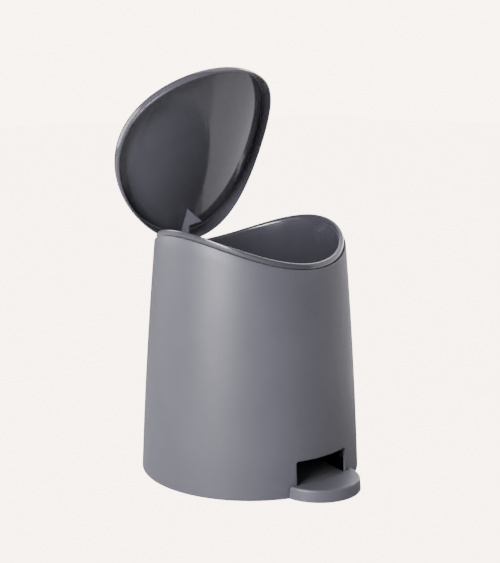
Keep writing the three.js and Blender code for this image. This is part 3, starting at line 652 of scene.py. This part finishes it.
class WallFace:
    """One face of the shell's wall: a grid of vertices that leaves out the window, and its rim."""

    SILL = 1  # row of the grid along the window's sill

    def __init__(self, shell: "ShellAssembly", draft: Draft, inset: float, margin: float) -> None:
        """Draws the face.

        Args:
            shell: the shell that it belongs to.
            draft: the mesh in the making.
            inset: how far the face lies inside the outer face.
            margin: how much larger than the window the hole is in this face.
        """
        self.shell, self.draft, self.inset, self.margin = shell, draft, inset, margin
        self.top, self.last = self.SILL + shell.window_rows + 1, shell.window_columns + 1
        self.flat = shell.window_half - shell.window_corner
        self.flat_low = shell.window_sill + shell.window_corner
        self.flat_high = shell.window_top - shell.window_corner
        columns = self._columns()
        self.angles = [angle for _, angle in columns]
        self.grid = [self._line(i, *column) for i, column in enumerate(columns)]
        self.rim: list[int] = []
        self.facings: list[Pair] = []
        self._fill()
        self._round_window()

    def _front(self, x: float, z: float) -> int:
        """Draws a vertex at the front of the face, at an x and a height."""
        radius = self.shell.form.radius(z) - self.inset
        return self.draft.add(Vector((x, -math.sqrt(radius**2 - x**2), z)))

    def _columns(self) -> list[tuple[Optional[float], float]]:
        """The x that each column keeps beside the window, and its angle; those at the window first.

        Returns:
            For each column the x that it keeps, or None, and its angle in radians.
        """
        shell = self.shell
        half = shell.window_half + self.margin
        radius = shell.form.radius(shell.window_top + self.margin) - self.inset
        across = [-half, *spread(-self.flat, self.flat, shell.window_columns), half]
        over = [(x, math.atan2(-math.sqrt(radius**2 - x**2), x)) for x in across]
        first, last = over[-1][1], over[0][1] + 2 * math.pi
        return over + [(None, angle) for angle in spread(first, last, shell.round_columns)[1:-1]]

    def _line(self, i: int, x: Optional[float], angle: float) -> list[int]:
        """Draws one column of the grid, from the foot to the edge.

        Args:
            i: number of the column.
            x: the x that it keeps beside the window, if it runs there.
            angle: its angle.

        Returns:
            The column's vertex numbers, with -1 inside the window.
        """
        shell, form = self.shell, self.shell.form
        low, high = shell.window_sill - self.margin, shell.window_top + self.margin
        heights = [0.0 if self.inset else shell.foot_round, low,
                   *spread(self.flat_low, self.flat_high, shell.window_rows),
                   high, high + shell.window_rise]
        crest = form.rim_low + form.saddle(form.edge(angle) * math.cos(angle)) - shell.edge_round
        line = []
        for j, z in enumerate(heights + spread(heights[-1], crest, shell.tiers)[1:]):
            if 0 < i < self.last and self.SILL < j < self.top:
                line.append(-1)
            elif x is not None and j <= self.top:
                line.append(self._front(x, z))
            else:
                line.append(self.draft.add(form.on_level(angle, form.radius(z) - self.inset, z)))
        return line

    def _fill(self) -> None:
        """Draws the quads between the columns, except in the window."""
        for i, line in enumerate(self.grid):
            after = self.grid[(i + 1) % len(self.grid)]
            for j in range(len(line) - 1):
                if i >= self.last or not self.SILL <= j < self.top:
                    self.draft.faces.append((line[j], after[j], after[j + 1], line[j + 1]))

    def _round_window(self) -> None:
        """Collects the window's rim and which way it faces, and rounds its corners."""
        flat, low, high = self.flat, self.flat_low, self.flat_high
        sill, top, last = self.SILL, self.top, self.last
        columns, rows = range(1, last), range(sill + 1, top)
        reach = self.shell.window_corner + self.margin
        fans = []
        for start, cells, centre, corner in (
            (-90, [(i, sill) for i in columns], (flat, low), (last, sill)),
            (0, [(last, j) for j in rows], (flat, high), (last, top)),
            (90, [(i, top) for i in reversed(columns)], (-flat, high), (0, top)),
            (180, [(0, j) for j in reversed(rows)], (-flat, low), (0, sill)),
        ):
            bends = spread(start, start + 90, self.shell.corner_steps + 1)[1:-1]
            turns = [math.radians(degrees) for degrees in [start] * len(cells) + bends]
            self.facings += [(math.cos(turn), math.sin(turn)) for turn in turns]
            self.rim += [self.grid[i][j] for i, j in cells]
            begin = len(self.rim) - 1
            self.rim += [self._front(centre[0] + reach * across, centre[1] + reach * up)
                         for across, up in self.facings[len(self.rim):]]
            fans.append((self.grid[corner[0]][corner[1]], range(begin, len(self.rim))))
        for corner_vertex, steps in fans:
            for k in steps:
                self.draft.faces.append((corner_vertex, self.rim[k], self.rim[(k + 1) % len(self.rim)]))


@dataclass
class ShellAssembly:
    """Outer shell: wall with the pedal window, two hinge ears, guide pads and screw pillars."""

    form: CanForm
    hinge: Vector
    wall: float = 2.2
    edge_round: float = 0.9
    edge_start: float = 15.0
    edge_steps: int = 5
    inner_round: float = 0.4
    foot_round: float = 0.5
    foot_start: float = -20.0
    foot_steps: int = 3
    window_half: float = 29.2
    window_sill: float = 3.0
    window_top: float = 31.2
    window_corner: float = 1.6
    window_round: float = 0.45
    window_round_steps: int = 4
    window_columns: int = 16
    window_rows: int = 6
    window_rise: float = 4.0
    round_columns: int = 228
    tiers: int = 18
    corner_steps: int = 5
    ear_thickness: float = 4.6
    ear_radius: float = 4.0
    ear_outer: float = 21.1
    ear_drop: float = 17.0
    ear_arc: tuple[float, float, int] = (-12, 150, 18)
    ear_soft: float = 0.5
    seat_gap: float = 0.12
    pin_bore: float = 2.05
    pillar_turns: tuple[float, ...] = (45, 135, 225, 315)
    pillar_circle: float = 87.0
    pillar_radius: float = 4.6
    pillar_low: float = 6.3
    pillar_top: float = 27.0
    pilot_radius: float = 2.1
    pilot_top: float = 18.8
    pad_left: float = -15.0
    pad_right: float = -2.0
    pad_front: float = 84.8
    pad_root: float = 1.0
    pad_half_height: float = 6.0
    pad_heights: Pair = (62.0, 150.0)

    def build(self) -> Piece:
        """Builds the shell as one closed mesh.

        Returns:
            The object.
        """
        shell = self._wall()
        for left in (-self.ear_outer, self.ear_outer - self.ear_thickness):
            combine(shell, self._ear(left), Join.ADD)
        for z in self.pad_heights:
            combine(shell, self._guide_pad(z), Join.ADD)
        for degrees in self.pillar_turns:
            combine(shell, self._pillar(degrees), Join.ADD)
        reach = self.ear_outer + OVERRUN
        bore = bar_x("pin_bore", (self.hinge.y, self.hinge.z), self.pin_bore, -reach, reach)
        combine(shell, bore, Join.CUT)
        for degrees in self.pillar_turns:
            pilot = post("pilot", self._stand(degrees), self.pilot_radius, -OVERRUN, self.pilot_top)
            combine(shell, pilot, Join.CUT)
        tidy_mesh(shell, CUT_BEND)
        return shell

    def _wall(self) -> Piece:
        """Tapered wall with its rounded edge and the window for the pedal.

        Returns:
            The object.
        """
        draft = Draft()
        outer = WallFace(self, draft, 0.0, self.window_round)
        inner = WallFace(self, draft, self.wall, 0.0)
        for end, bend in ((-1, self._edge), (0, self._foot)):
            draft.skin([[outer.grid[k][end], *draft.add_row(bend(angle)), inner.grid[k][end]]
                        for k, angle in enumerate(outer.angles)])
        self._window(draft, outer, inner)
        return draft.piece("outer_wall")

    def _edge(self, angle: float) -> Column:
        """Rounded upper edge of the wall at an angle, from outside to inside.

        Args:
            angle: angle round Z, in radians.

        Returns:
            Its points.
        """
        edge = self.form.edge(angle)
        back = edge - self.wall + self.inner_round
        bend = arc((edge - self.edge_round, -self.edge_round), self.edge_round,
                   self.edge_start, 90, self.edge_steps)
        bend += arc((back, -self.inner_round), self.inner_round, 90, 180, self.foot_steps)
        return self.form.saddle_column(angle, bend)

    def _foot(self, angle: float) -> Column:
        """Rounded outer foot of the wall at an angle.

        Args:
            angle: angle round Z, in radians.

        Returns:
            Its points.
        """
        turn = self.foot_round
        bend = arc((self.form.radius(0) - turn, turn), turn, self.foot_start, -90, self.foot_steps)
        return self.form.level_column(angle, bend)

    def _window(self, draft: Draft, outer: WallFace, inner: WallFace) -> None:
        """Rounds the window's rim and joins it to the inner face.

        Args:
            draft: the mesh in the making.
            outer: outer face of the wall.
            inner: inner face of the wall.
        """
        previous = outer.rim
        for step in range(self.window_round_steps):
            turn = math.radians(90 * (step + 1) / self.window_round_steps)
            inwards = self.window_round * math.sin(turn)
            depth = self.window_round * (1 - math.cos(turn))
            places = []
            for vertex, (across, up) in zip(outer.rim, outer.facings):
                x = draft.points[vertex].x - across * inwards
                z = draft.points[vertex].z - up * inwards
                places.append(Vector((x, depth - math.sqrt(self.form.radius(z) ** 2 - x**2), z)))
            row = draft.add_row(places)
            draft.bridge(previous, row)
            previous = row
        draft.bridge(previous, inner.rim)

    def _ear(self, left: float) -> Piece:
        """Hinge ear: a round eye on the axis, tapering down into the back of the wall.

        Args:
            left: x of its left face.

        Returns:
            The object.
        """
        root, rim = self.form.rim_low - self.ear_drop, self.form.rim_low
        outline = [(self._rooted(root), root)]
        outline += arc((self.hinge.y, self.hinge.z), self.ear_radius, *self.ear_arc)
        outline.append((self._rooted(rim), rim - self.seat_gap))
        ear = prism_x("hinge_ear", outline, left, left + self.ear_thickness)
        soften(ear, self.ear_soft)
        return ear

    def _rooted(self, z: float) -> float:
        """Y of the middle of the wall beside an ear, at a height."""
        return math.sqrt((self.form.radius(z) - self.wall / 2) ** 2 - self.ear_outer**2)

    def _guide_pad(self, z: float) -> Piece:
        """Flat pad inside the back wall for a rod guide.

        Args:
            z: height of its middle.

        Returns:
            The object.
        """
        low = (self.pad_left, self.pad_front, z - self.pad_half_height)
        reach = self.form.radius(z) - self.wall / 2 - self.pad_root
        return block("guide_pad", low, (self.pad_right, reach, z + self.pad_half_height))

    def _stand(self, degrees: float) -> Pair:
        """Place on the circle of the screws, as x and y."""
        angle = math.radians(degrees)
        return (self.pillar_circle * math.cos(angle), self.pillar_circle * math.sin(angle))

    def _pillar(self, degrees: float) -> Piece:
        """Screw pillar with the web that ties it to the wall.

        Args:
            degrees: where it stands round Z.

        Returns:
            The object.
        """
        low, top, half = self.pillar_low, self.pillar_top, self.wall / 2
        pillar = post("pillar", self._stand(degrees), self.pillar_radius, low, top)
        web = block("web", (self.pillar_circle, -half, low), (self.form.radius(top) - half, half, top))
        web.data.transform(Matrix.Rotation(math.radians(degrees), 4, "Z"))
        return combine(pillar, web, Join.ADD)


# ---- bucket


@dataclass
class BucketAssembly:
    """Lift-out bucket: a straight cup with a rounded lip, and a bay at the back for the linkage."""

    form: CanForm
    wall: float = 2.0
    shell_wall: float = 2.2
    floor: float = 34.0
    floor_radius: float = 78.0
    corner: float = 5.0
    lip_inset: float = 1.9
    lip_width: float = 5.0
    lip_height: float = 5.0
    lip_gain: float = 2.0
    lip_round: float = 1.8
    lip_foot_round: float = 0.5
    lip_drop: float = 7.0
    locate_gap: float = 1.2
    seat_gap: float = 0.12
    bay_half: float = 24.5
    bay_front: float = 70.94
    bay_corner: float = 4.0
    bay_behind: float = 4.0
    bay_sill: float = 183.5
    mouth_half: float = 16.5
    tiers: int = 12
    floor_rings: int = 6
    corner_steps: int = 6
    crest_steps: int = 7
    foot_steps: int = 3

    def build(self) -> Piece:
        """Builds the bucket as one closed mesh.

        Returns:
            The object.
        """
        cup = ring("bucket", lambda a: self._outside(a) + self._seat(a) + self._crest(a) + self._inside(a))
        core = ring("core", lambda a: [*self._outside(a), self.form.on_saddle(a, 0, -self.lip_drop)])
        high = self.form.rim_low + self.form.profile_height
        level = self.form.rim_low + self.seat_gap
        bay = prism_z("bay", self._bay_plan(0), 0, level)
        bay_wall = prism_z("bay_wall", self._bay_plan(self.wall), 0, high)
        combine(bay_wall, prism_z("bay_inside", self._bay_plan(0), -OVERRUN, level), Join.CUT)
        combine(bay_wall, core, Join.KEEP_COMMON)
        combine(cup, bay, Join.CUT)
        combine(cup, bay_wall, Join.ADD)
        low = (-self.mouth_half, self.bay_front - self.wall - OVERRUN, self.bay_sill)
        mouth = block("bay_mouth", low, (self.mouth_half, self.form.base_radius, high))
        combine(cup, mouth, Join.CUT)
        tidy_mesh(cup, CUT_BEND)
        return cup

    def _bay_plan(self, grow: float) -> list[Pair]:
        """Plan of the bay, wider by grow on each side.

        Args:
            grow: distance between this outline and the bay itself.

        Returns:
            Its points, as x and y.
        """
        return rounded_plan(
            (-self.bay_half - grow, self.bay_front - grow),
            (self.bay_half + grow, self.form.base_radius + self.bay_behind), self.bay_corner + grow)

    def _body(self, angle: float) -> float:
        """Outer radius of the cup below its lip."""
        return self.form.edge(angle) - self.shell_wall - self.locate_gap

    def _floor(self, angle: float, reach: float, level: float) -> Column:
        """Flat part of the floor, from its middle outwards."""
        return [self.form.on_level(angle, reach * k / self.floor_rings, level)
                for k in range(self.floor_rings)]

    def _outside(self, angle: float) -> Column:
        """Outside of the cup from the middle of its floor up to below the lip.

        Args:
            angle: angle round Z, in radians.

        Returns:
            Its points.
        """
        flat = self.floor_radius - self.corner
        bend = self.form.level_column(
            angle, arc((flat, self.floor + self.corner), self.corner, -90, 0, self.corner_steps))
        top = self.form.on_saddle(angle, self._body(angle), -self.lip_drop)
        rise = [bend[-1].lerp(top, share) for share in spread(0, 1, self.tiers)[1:]]
        return self._floor(angle, flat, self.floor) + bend + rise

    def _seat(self, angle: float) -> Column:
        """Underside of the lip, which seats on the shell, and its outer foot.

        Args:
            angle: angle round Z, in radians.

        Returns:
            Its points.
        """
        turn = self.lip_foot_round
        centre = (self.form.edge(angle) - self.lip_inset - turn, self.seat_gap + turn)
        return self.form.saddle_column(
            angle, [(self._body(angle), self.seat_gap), *arc(centre, turn, -90, 0, self.foot_steps)])

    def _crest(self, angle: float) -> Column:
        """Rounded lip, from its outer foot over the crest to the mouth.

        Args:
            angle: angle round Z, in radians.

        Returns:
            Its points.
        """
        face = self.form.edge(angle) - self.lip_inset
        mouth = face - self.lip_width
        level = self.lip_height + self.lip_gain * math.cos(angle) ** 2 - self.lip_round
        over = arc((face - self.lip_round, level), self.lip_round, 0, 90, self.crest_steps)
        down = arc((mouth + self.lip_round, level), self.lip_round, 90, 180, self.crest_steps)
        return self.form.saddle_column(angle, over + down)

    def _inside(self, angle: float) -> Column:
        """Inside of the bucket from under the lip down to the middle of its floor.

        Args:
            angle: angle round Z, in radians.

        Returns:
            Its points.
        """
        throat = min(self._body(angle) - self.wall,
                     self.form.edge(angle) - self.lip_inset - self.lip_width)
        level = self.floor + self.wall
        flat = self.floor_radius - self.wall - self.corner
        bend = self.form.level_column(
            angle, arc((flat, level + self.corner), self.corner, 0, -90, self.corner_steps))
        top = self.form.on_saddle(angle, throat, -self.lip_drop)
        drop = [top.lerp(bend[0], share) for share in spread(0, 1, self.tiers)[:-1]]
        return drop + bend + self._floor(angle, flat, level)[::-1]


# ---- lid


@dataclass
class LidAssembly:
    """Hinged lid: a pillow-shaped cap, and the bracket under it with the fin, crank and knuckle."""

    form: CanForm
    hinge: Vector
    open_angle: float = 65.8
    plate_soft: float = 0.35
    fin_soft: float = 0.3
    web_soft: float = 0.4
    sharp: float = 35.0
    overhang: float = 0.7
    wall: float = 1.7
    edge_lift: float = 1.0
    height: float = 20.6
    fall: float = 2.6
    round: float = 16.5
    ceiling: float = 14.2
    corner_inset: float = 2.5
    corner_round: float = 1.2
    foot_round: float = 0.4
    spans: int = 20
    round_steps: int = 20
    foot_steps: int = 3
    knuckle_radius: float = 4.0
    knuckle_half: float = 15.5
    pin_bore: float = 2.05
    web_rise: float = 0.5
    root: float = 1.0
    crank_left: float = -12.6
    cheek_left: float = -6.6
    crank_wall_reach: float = 8.72
    crank_reach: float = 12.6
    crank_rise: float = 8.151
    crank_eye: float = 3.3
    peg_radius: float = 2.0
    fin_left: float = 0.0
    fin_thickness: float = 2.2
    fin_top_reach: float = 31.8
    fin_tip: Pair = (30.6, 8.2)
    fin_nose: float = 1.0
    fin_waist: Pair = (17.6, -4.9)
    fin_leg: Pair = (10.4, -2.5)

    def build_cap(self) -> Piece:
        """Builds the cap in its open position."""
        return self._open(ring("lid_cap", self._column))

    def build_bracket(self) -> Piece:
        """Builds the fin, the crank and the knuckle in their open position.

        Returns:
            The object.
        """
        bracket = self._fin()
        for left in (self.crank_left, self.cheek_left):
            combine(bracket, self._plate(left), Join.ADD)
        peg = self._from_axis(self.crank_reach, self.crank_rise)
        bar = bar_x("peg", peg, self.peg_radius, self.crank_left + self.root, self.cheek_left + self.root)
        combine(bracket, bar, Join.ADD)
        combine(bracket, self._knuckle(), Join.ADD)
        reach = self.knuckle_half + OVERRUN
        combine(bracket, bar_x("bore", self._from_axis(0, 0), self.pin_bore, -reach, reach), Join.CUT)
        tidy_mesh(bracket, self.sharp)
        return self._open(bracket)

    def _face(self, angle: float, corner: Pair, turn: float) -> list[Pair]:
        """One face of the cap, which rises less over the saddle at its sides than in its middle.

        Args:
            angle: angle round Z, in radians.
            corner: where the top would meet the wall, as radius and height above the saddle.
            turn: radius of the round that joins them.

        Returns:
            Radius and height above the saddle of each point, from the middle outwards.
        """
        reach, top = corner[0] - turn, corner[1]
        points = [(reach * k / self.spans, top) for k in range(self.spans)]
        points += arc((reach, top - turn), turn, 90, 0, self.round_steps)
        edge = self.form.edge(angle) + self.overhang
        return [(radius, lift - self.fall * (radius * math.cos(angle) / edge) ** 2)
                for radius, lift in points]

    def _outside(self, angle: float, inset: float) -> list[Pair]:
        """Outer face of the cap, or one that lies inside it by the inset."""
        corner = (self.form.edge(angle) + self.overhang - inset, self.edge_lift + self.height - inset)
        return self._face(angle, corner, self.round - inset)

    def _column(self, angle: float) -> Column:
        """Half section of the cap: over the top, round the edge and back underneath.

        Args:
            angle: angle round Z, in radians.

        Returns:
            Its points.
        """
        edge = self.form.edge(angle) + self.overhang
        turn, steps = self.foot_round, self.foot_steps
        foot = self.edge_lift + turn
        section = self._outside(angle, 0.0)
        section += arc((edge - turn, foot), turn, 0, -90, steps)
        section += arc((edge - self.wall + turn, foot), turn, -90, -180, steps)
        corner = (edge - self.corner_inset, self.ceiling)
        section += reversed(self._face(angle, corner, self.corner_round))
        return self.form.saddle_column(angle, section)

    def _core(self) -> Piece:
        """Everything inside the middle of the cap's wall, down into the can.

        Returns:
            The object.
        """
        foot = Vector((0, 0, self.form.rim_low / 2))
        return ring("lid_core", lambda a: [
            *self.form.saddle_column(a, self._outside(a, self.wall / 2)), foot])

    def _from_axis(self, reach: float, drop: float) -> Pair:
        """Side view point measured from the hinge axis, towards the front and downwards."""
        return (self.hinge.y - reach, self.hinge.z - drop)

    def _fin(self) -> Piece:
        """Fin under the cap, with a leg that runs back to the hinge.

        Returns:
            The object.
        """
        top = -self.edge_lift - self.height
        tip_reach, tip_drop = self.fin_tip
        spots = [(self.fin_top_reach, top), self.fin_tip,
                 (tip_reach - self.fin_nose, tip_drop + self.fin_nose / 2), self.fin_waist, self.fin_leg,
                 (0.0, self.fin_leg[1]), (0.0, top)]
        outline = [self._from_axis(reach, drop) for reach, drop in spots]
        fin = prism_x("lid_bracket", outline, self.fin_left, self.fin_left + self.fin_thickness)
        soften(fin, self.fin_soft)
        return combine(fin, self._core(), Join.KEEP_COMMON)

    def _plate(self, left: float) -> Piece:
        """Crank plate: from the knuckle over the shell's edge, then down inside to the eye.

        Args:
            left: x of its left face.

        Returns:
            The object.
        """
        reach, drop = self.fin_leg
        eye, rise = self.crank_eye, self.crank_rise
        spots = [(0.0, -self.knuckle_radius), (reach, drop - self.knuckle_radius),
                 (reach + self.root, drop), (self.crank_reach + eye, rise),
                 (self.crank_reach - eye, rise), (self.crank_wall_reach, -self.web_rise),
                 (0.0, -self.web_rise)]
        right = left + self.fin_thickness
        plate = prism_x("crank_plate", [self._from_axis(*spot) for spot in spots], left, right)
        combine(plate, bar_x("eye", self._from_axis(self.crank_reach, rise), eye, left, right), Join.ADD)
        soften(plate, self.plate_soft)
        return plate

    def _knuckle(self) -> Piece:
        """Knuckle on the hinge axis and the web that ties it to the cap's edge.

        Returns:
            The object.
        """
        half = self.knuckle_half
        edge = math.sqrt((self.form.edge(math.pi / 2) + self.overhang - self.root) ** 2 - half**2)
        web = block("web", (-half, edge, self.hinge.z + self.web_rise),
                    (half, self.hinge.y, self.hinge.z + self.knuckle_radius))
        barrel = bar_x("knuckle", self._from_axis(0, 0), self.knuckle_radius, -half, half)
        combine(web, barrel, Join.ADD)
        soften(web, self.web_soft)
        return web

    def _open(self, piece: Piece) -> Piece:
        """Turns a closed piece about the hinge to where the lid stands at rest.

        Args:
            piece: object built with the lid closed.

        Returns:
            The same object, turned.
        """
        axis = self.hinge * MM
        turn = Matrix.Rotation(-math.radians(self.open_angle), 4, "X")
        piece.data.transform(Matrix.Translation(axis) @ turn @ Matrix.Translation(-axis))
        return piece


# ---- pedal


@dataclass
class PedalAssembly:
    """Pedal: a hollow half-moon tread over the tab of its lever."""

    form: CanForm
    centre_y: float = -90.0
    radius: float = 37.8
    flare: float = 0.8
    height: float = 10.8
    lift: float = 0.6
    shoulder: float = 2.0
    skin: float = 2.4
    back_gap: float = 0.8
    back_round: float = 0.8
    foot_round: float = 0.4
    shoulder_steps: int = 8
    heart: float = 0.55
    corner_blend: float = 1.2
    gate: float = 27.3
    gate_share: float = 0.8
    cover_rings: int = 4
    boss_radius: float = 3.2
    boss_low: float = 7.3
    boss_x: float = 9.0
    boss_setback: float = 15.0
    boss_root: float = 1.0
    pilot_radius: float = 1.6

    def build_tread(self) -> Piece:
        """Builds the tread as one closed mesh, pressed flat.

        Returns:
            The object.
        """
        low, top = self.lift, self.lift + self.height
        below, ceiling = low - OVERRUN, top - self.skin
        bend = arc((0.0, 0.0), 1.0, 0, 90, self.shoulder_steps)
        shoulder = [(self.flare + self.shoulder * (1 - c), self.back_round * (1 - c),
                     top - self.shoulder * (1 - s)) for c, s in bend]
        foot = [(self.foot_round, self.foot_round / 2, low), (0.0, 0.0, low + self.foot_round)]
        tread = self._ring("tread", foot + shoulder)
        hollow = self._ring("tread_hollow", [
            (self.skin, self.skin, below), (self.skin + self.flare, self.skin, ceiling)])
        combine(tread, hollow, Join.CUT)
        back = -self.form.base_radius - self.back_gap
        gate = block("gate", (-self.gate, back - self.skin - OVERRUN, below),
                     (self.gate, back * self.gate_share, ceiling))
        combine(tread, gate, Join.CUT)
        nose = self.centre_y - self.radius + self.boss_setback
        for x in (-self.boss_x, self.boss_x):
            boss = post("boss", (x, nose), self.boss_radius, self.boss_low, top - self.boss_root)
            combine(tread, boss, Join.ADD)
            pilot = post("pilot", (x, nose), self.pilot_radius, below, top - self.skin / 2)
            combine(tread, pilot, Join.CUT)
        tidy_mesh(tread, CUT_BEND)
        return tread

    def _ring(self, name: str, levels: Sequence[Triple]) -> Piece:
        """Skins the half-moon outline through levels.

        Args:
            name: name of the object.
            levels: inset at the front, inset at the back and height of each level.

        Returns:
            The object.
        """
        heart_y = self.centre_y - self.heart * self.radius

        def column(angle: float) -> Column:
            """Points of the levels at an angle, and of the cover from the last one to the middle.

            Args:
                angle: angle round Z, in radians.

            Returns:
                Its points.
            """
            places = [self._spot(angle, heart_y, *level) for level in levels]
            low, high = (Vector((0, heart_y, levels[k][2])) for k in (0, -1))
            cover = [high.lerp(places[-1], share) for share in spread(1, 0, self.cover_rings + 1)[1:-1]]
            return [low, *places, *cover, high]

        return ring(name, column)

    def _spot(self, angle: float, heart_y: float, front_in: float, back_in: float, z: float) -> Vector:
        """Point of the outline at an angle round its heart.

        Args:
            angle: angle of the ray, in radians.
            heart_y: y of the heart of the outline.
            front_in: how far the front lies inside the full outline.
            back_in: how far the back lies inside it.
            z: height.

        Returns:
            The point.
        """
        ray = (math.cos(angle), math.sin(angle))
        front = self.radius - front_in
        back = self.form.base_radius + self.back_gap + back_in
        offset = heart_y - self.centre_y
        along = -ray[1] * offset
        to_front = along + math.sqrt(along**2 - offset**2 + front**2)
        inward = ray[1] * heart_y
        hit = inward**2 - heart_y**2 + back**2
        length = to_front
        if ray[1] > 0 and hit > 0:
            to_back = -inward - math.sqrt(hit)
            near, far = min(to_front, to_back), max(to_front, to_back)
            length = near - self.corner_blend * math.exp(-(far - near) / self.corner_blend)
        return Vector((ray[0] * length, heart_y + ray[1] * length, z))


# ---- studio


@dataclass(frozen=True)
class SoftBox:
    """Large soft light."""

    name: str
    place: Triple
    size: Pair
    power: float
    aim: Triple = (0, 0, 0.15)
    tint: Triple = (0.96, 0.96, 1.0)

    def build(self) -> None:
        """Hangs the light."""
        lamp = bpy.data.lights.new(self.name, "AREA")
        lamp.shape = "RECTANGLE"
        lamp.size, lamp.size_y = self.size
        lamp.energy = self.power
        lamp.color = self.tint
        made = bpy.data.objects.new(self.name, lamp)
        made.location = self.place
        made.visible_camera = False
        made.rotation_euler = (Vector(self.aim) - Vector(self.place)).to_track_quat("-Z", "Y").to_euler()
        bpy.context.scene.collection.objects.link(made)


@dataclass
class Studio:
    """Pale floor, soft light and the camera. Lengths are in metres."""

    azimuth: float = -40.989
    elevation: float = 10.626
    distance: float = 1.007
    aim_height: float = 0.17065
    lens: float = 71.05
    clip: Pair = (0.05, 40.0)
    floor_half: float = 6.0
    floor_lines: int = 5
    sky: Triple = (1.0, 0.99, 0.985)
    sky_low: float = 0.65
    sky_high: float = 0.1
    sky_fade: float = 0.6

    def build(self) -> None:
        """Builds the floor, the sky, the lights and the camera."""
        self._floor()
        self._sky()
        for light in (
            SoftBox("key_light", (-1.85, -0.42, 0.86), (0.95, 1.5), 117.0),
            SoftBox("back_fill", (-1.0, 1.7, 0.8), (0.9, 1.2), 25.0),
            SoftBox("side_panel", (0.31, 0.1, 0.6), (1.2, 1.2), 4.2, aim=(0, 0.1, 0.6)),
            SoftBox("right_fill", (1.8, 0.7, 0.8), (1.2, 1.2), 16.0),
        ):
            light.build()
        self._camera()

    def _floor(self) -> None:
        """Lays the floor."""
        draft = Draft()
        half = self.floor_half / MM
        steps = spread(-half, half, self.floor_lines)
        rows = [draft.add_row([Vector((x, y, 0)) for y in steps]) for x in steps]
        for first, second in zip(rows, rows[1:]):
            draft.bridge(second, first, closed=False)
        floor = draft.piece("studio_floor")
        dress(floor, FLOOR.material())

    def _sky(self) -> None:
        """Surrounds the scene with light that fades upwards, and shows the camera an even pale one."""
        world = bpy.data.worlds.new("studio_light")
        bpy.context.scene.world = world
        board = NodeBoard(world)
        heading = board.node(
            "ShaderNodeSeparateXYZ", {0: board.node("ShaderNodeTexCoord", {}).outputs["Generated"]})
        fade = board.node("ShaderNodeMapRange", {
            "Value": heading.outputs["Z"], "From Min": 0.0, "From Max": self.sky_fade,
            "To Min": self.sky_low, "To Max": self.sky_high})
        around = board.nodes["Background"]
        board.fill(around, {"Color": (*self.sky, 1.0), "Strength": fade.outputs["Result"]})
        beyond = board.node(
            "ShaderNodeBackground", {"Color": (*FLOOR.glow_colour, 1.0), "Strength": FLOOR.glow})
        board.split_view(
            around.outputs["Background"], beyond.outputs["Background"], 1.0, "World Output")

    def _camera(self) -> None:
        """Stands the camera at its viewing angle."""
        lens = bpy.data.cameras.new("camera")
        lens.lens = self.lens
        lens.clip_start, lens.clip_end = self.clip
        camera = bpy.data.objects.new("camera", lens)
        turn, rise = math.radians(self.azimuth), math.radians(self.elevation)
        back = Vector((math.sin(turn) * math.cos(rise), -math.cos(turn) * math.cos(rise), math.sin(rise)))
        camera.location = Vector((0, 0, self.aim_height)) + back * self.distance
        camera.rotation_euler = (-back).to_track_quat("-Z", "Y").to_euler()
        bpy.context.scene.collection.objects.link(camera)
        bpy.context.scene.camera = camera


# ---- the whole can


def main() -> None:
    """Builds, dresses and rigs every piece, and notes the object's size."""
    logging.basicConfig(level=logging.INFO, format="%(name)s: %(message)s")
    form = CanForm()
    hinge = joint_place("lid_hinge")

    shell, bucket = ShellAssembly(form, hinge).build(), BucketAssembly(form).build()
    settle(shell, "base", SHELL_GREY.material(), "outer_shell")
    # the bucket's darker colour is painted shade for the inside of the bucket
    settle(bucket, "base", LINER_PAINTED_SHADE_GREY.material(), "inner_bucket")

    lid = LidAssembly(form, hinge)
    lid_plastic = LID_GREY.material()
    settle(lid.build_cap(), "lid", lid_plastic, "lid")
    settle(lid.build_bracket(), "lid", lid_plastic, "lid")

    tread = PedalAssembly(form).build_tread()
    settle(tread, "pedal", SHELL_GREY.material(), "pedal_tread")

    carry(LEVER_GREY, "pedal_lever")
    carry(ROD_GREY, "push_rod")
    carry(DARK_PLASTIC, "base_plate", "rod_guide_lower", "rod_guide_upper")
    carry(STEEL, "hinge_pin", "pedal_axle", "axle_clip_left", "axle_clip_right", "base_screw_1",
          "base_screw_2", "base_screw_3", "base_screw_4", "tread_screw_1", "tread_screw_2")
    carry(RUBBER, "grip_pad_1", "grip_pad_2", "grip_pad_3", "grip_pad_4")

    Studio().build()


if __name__ == "__main__":
    main()
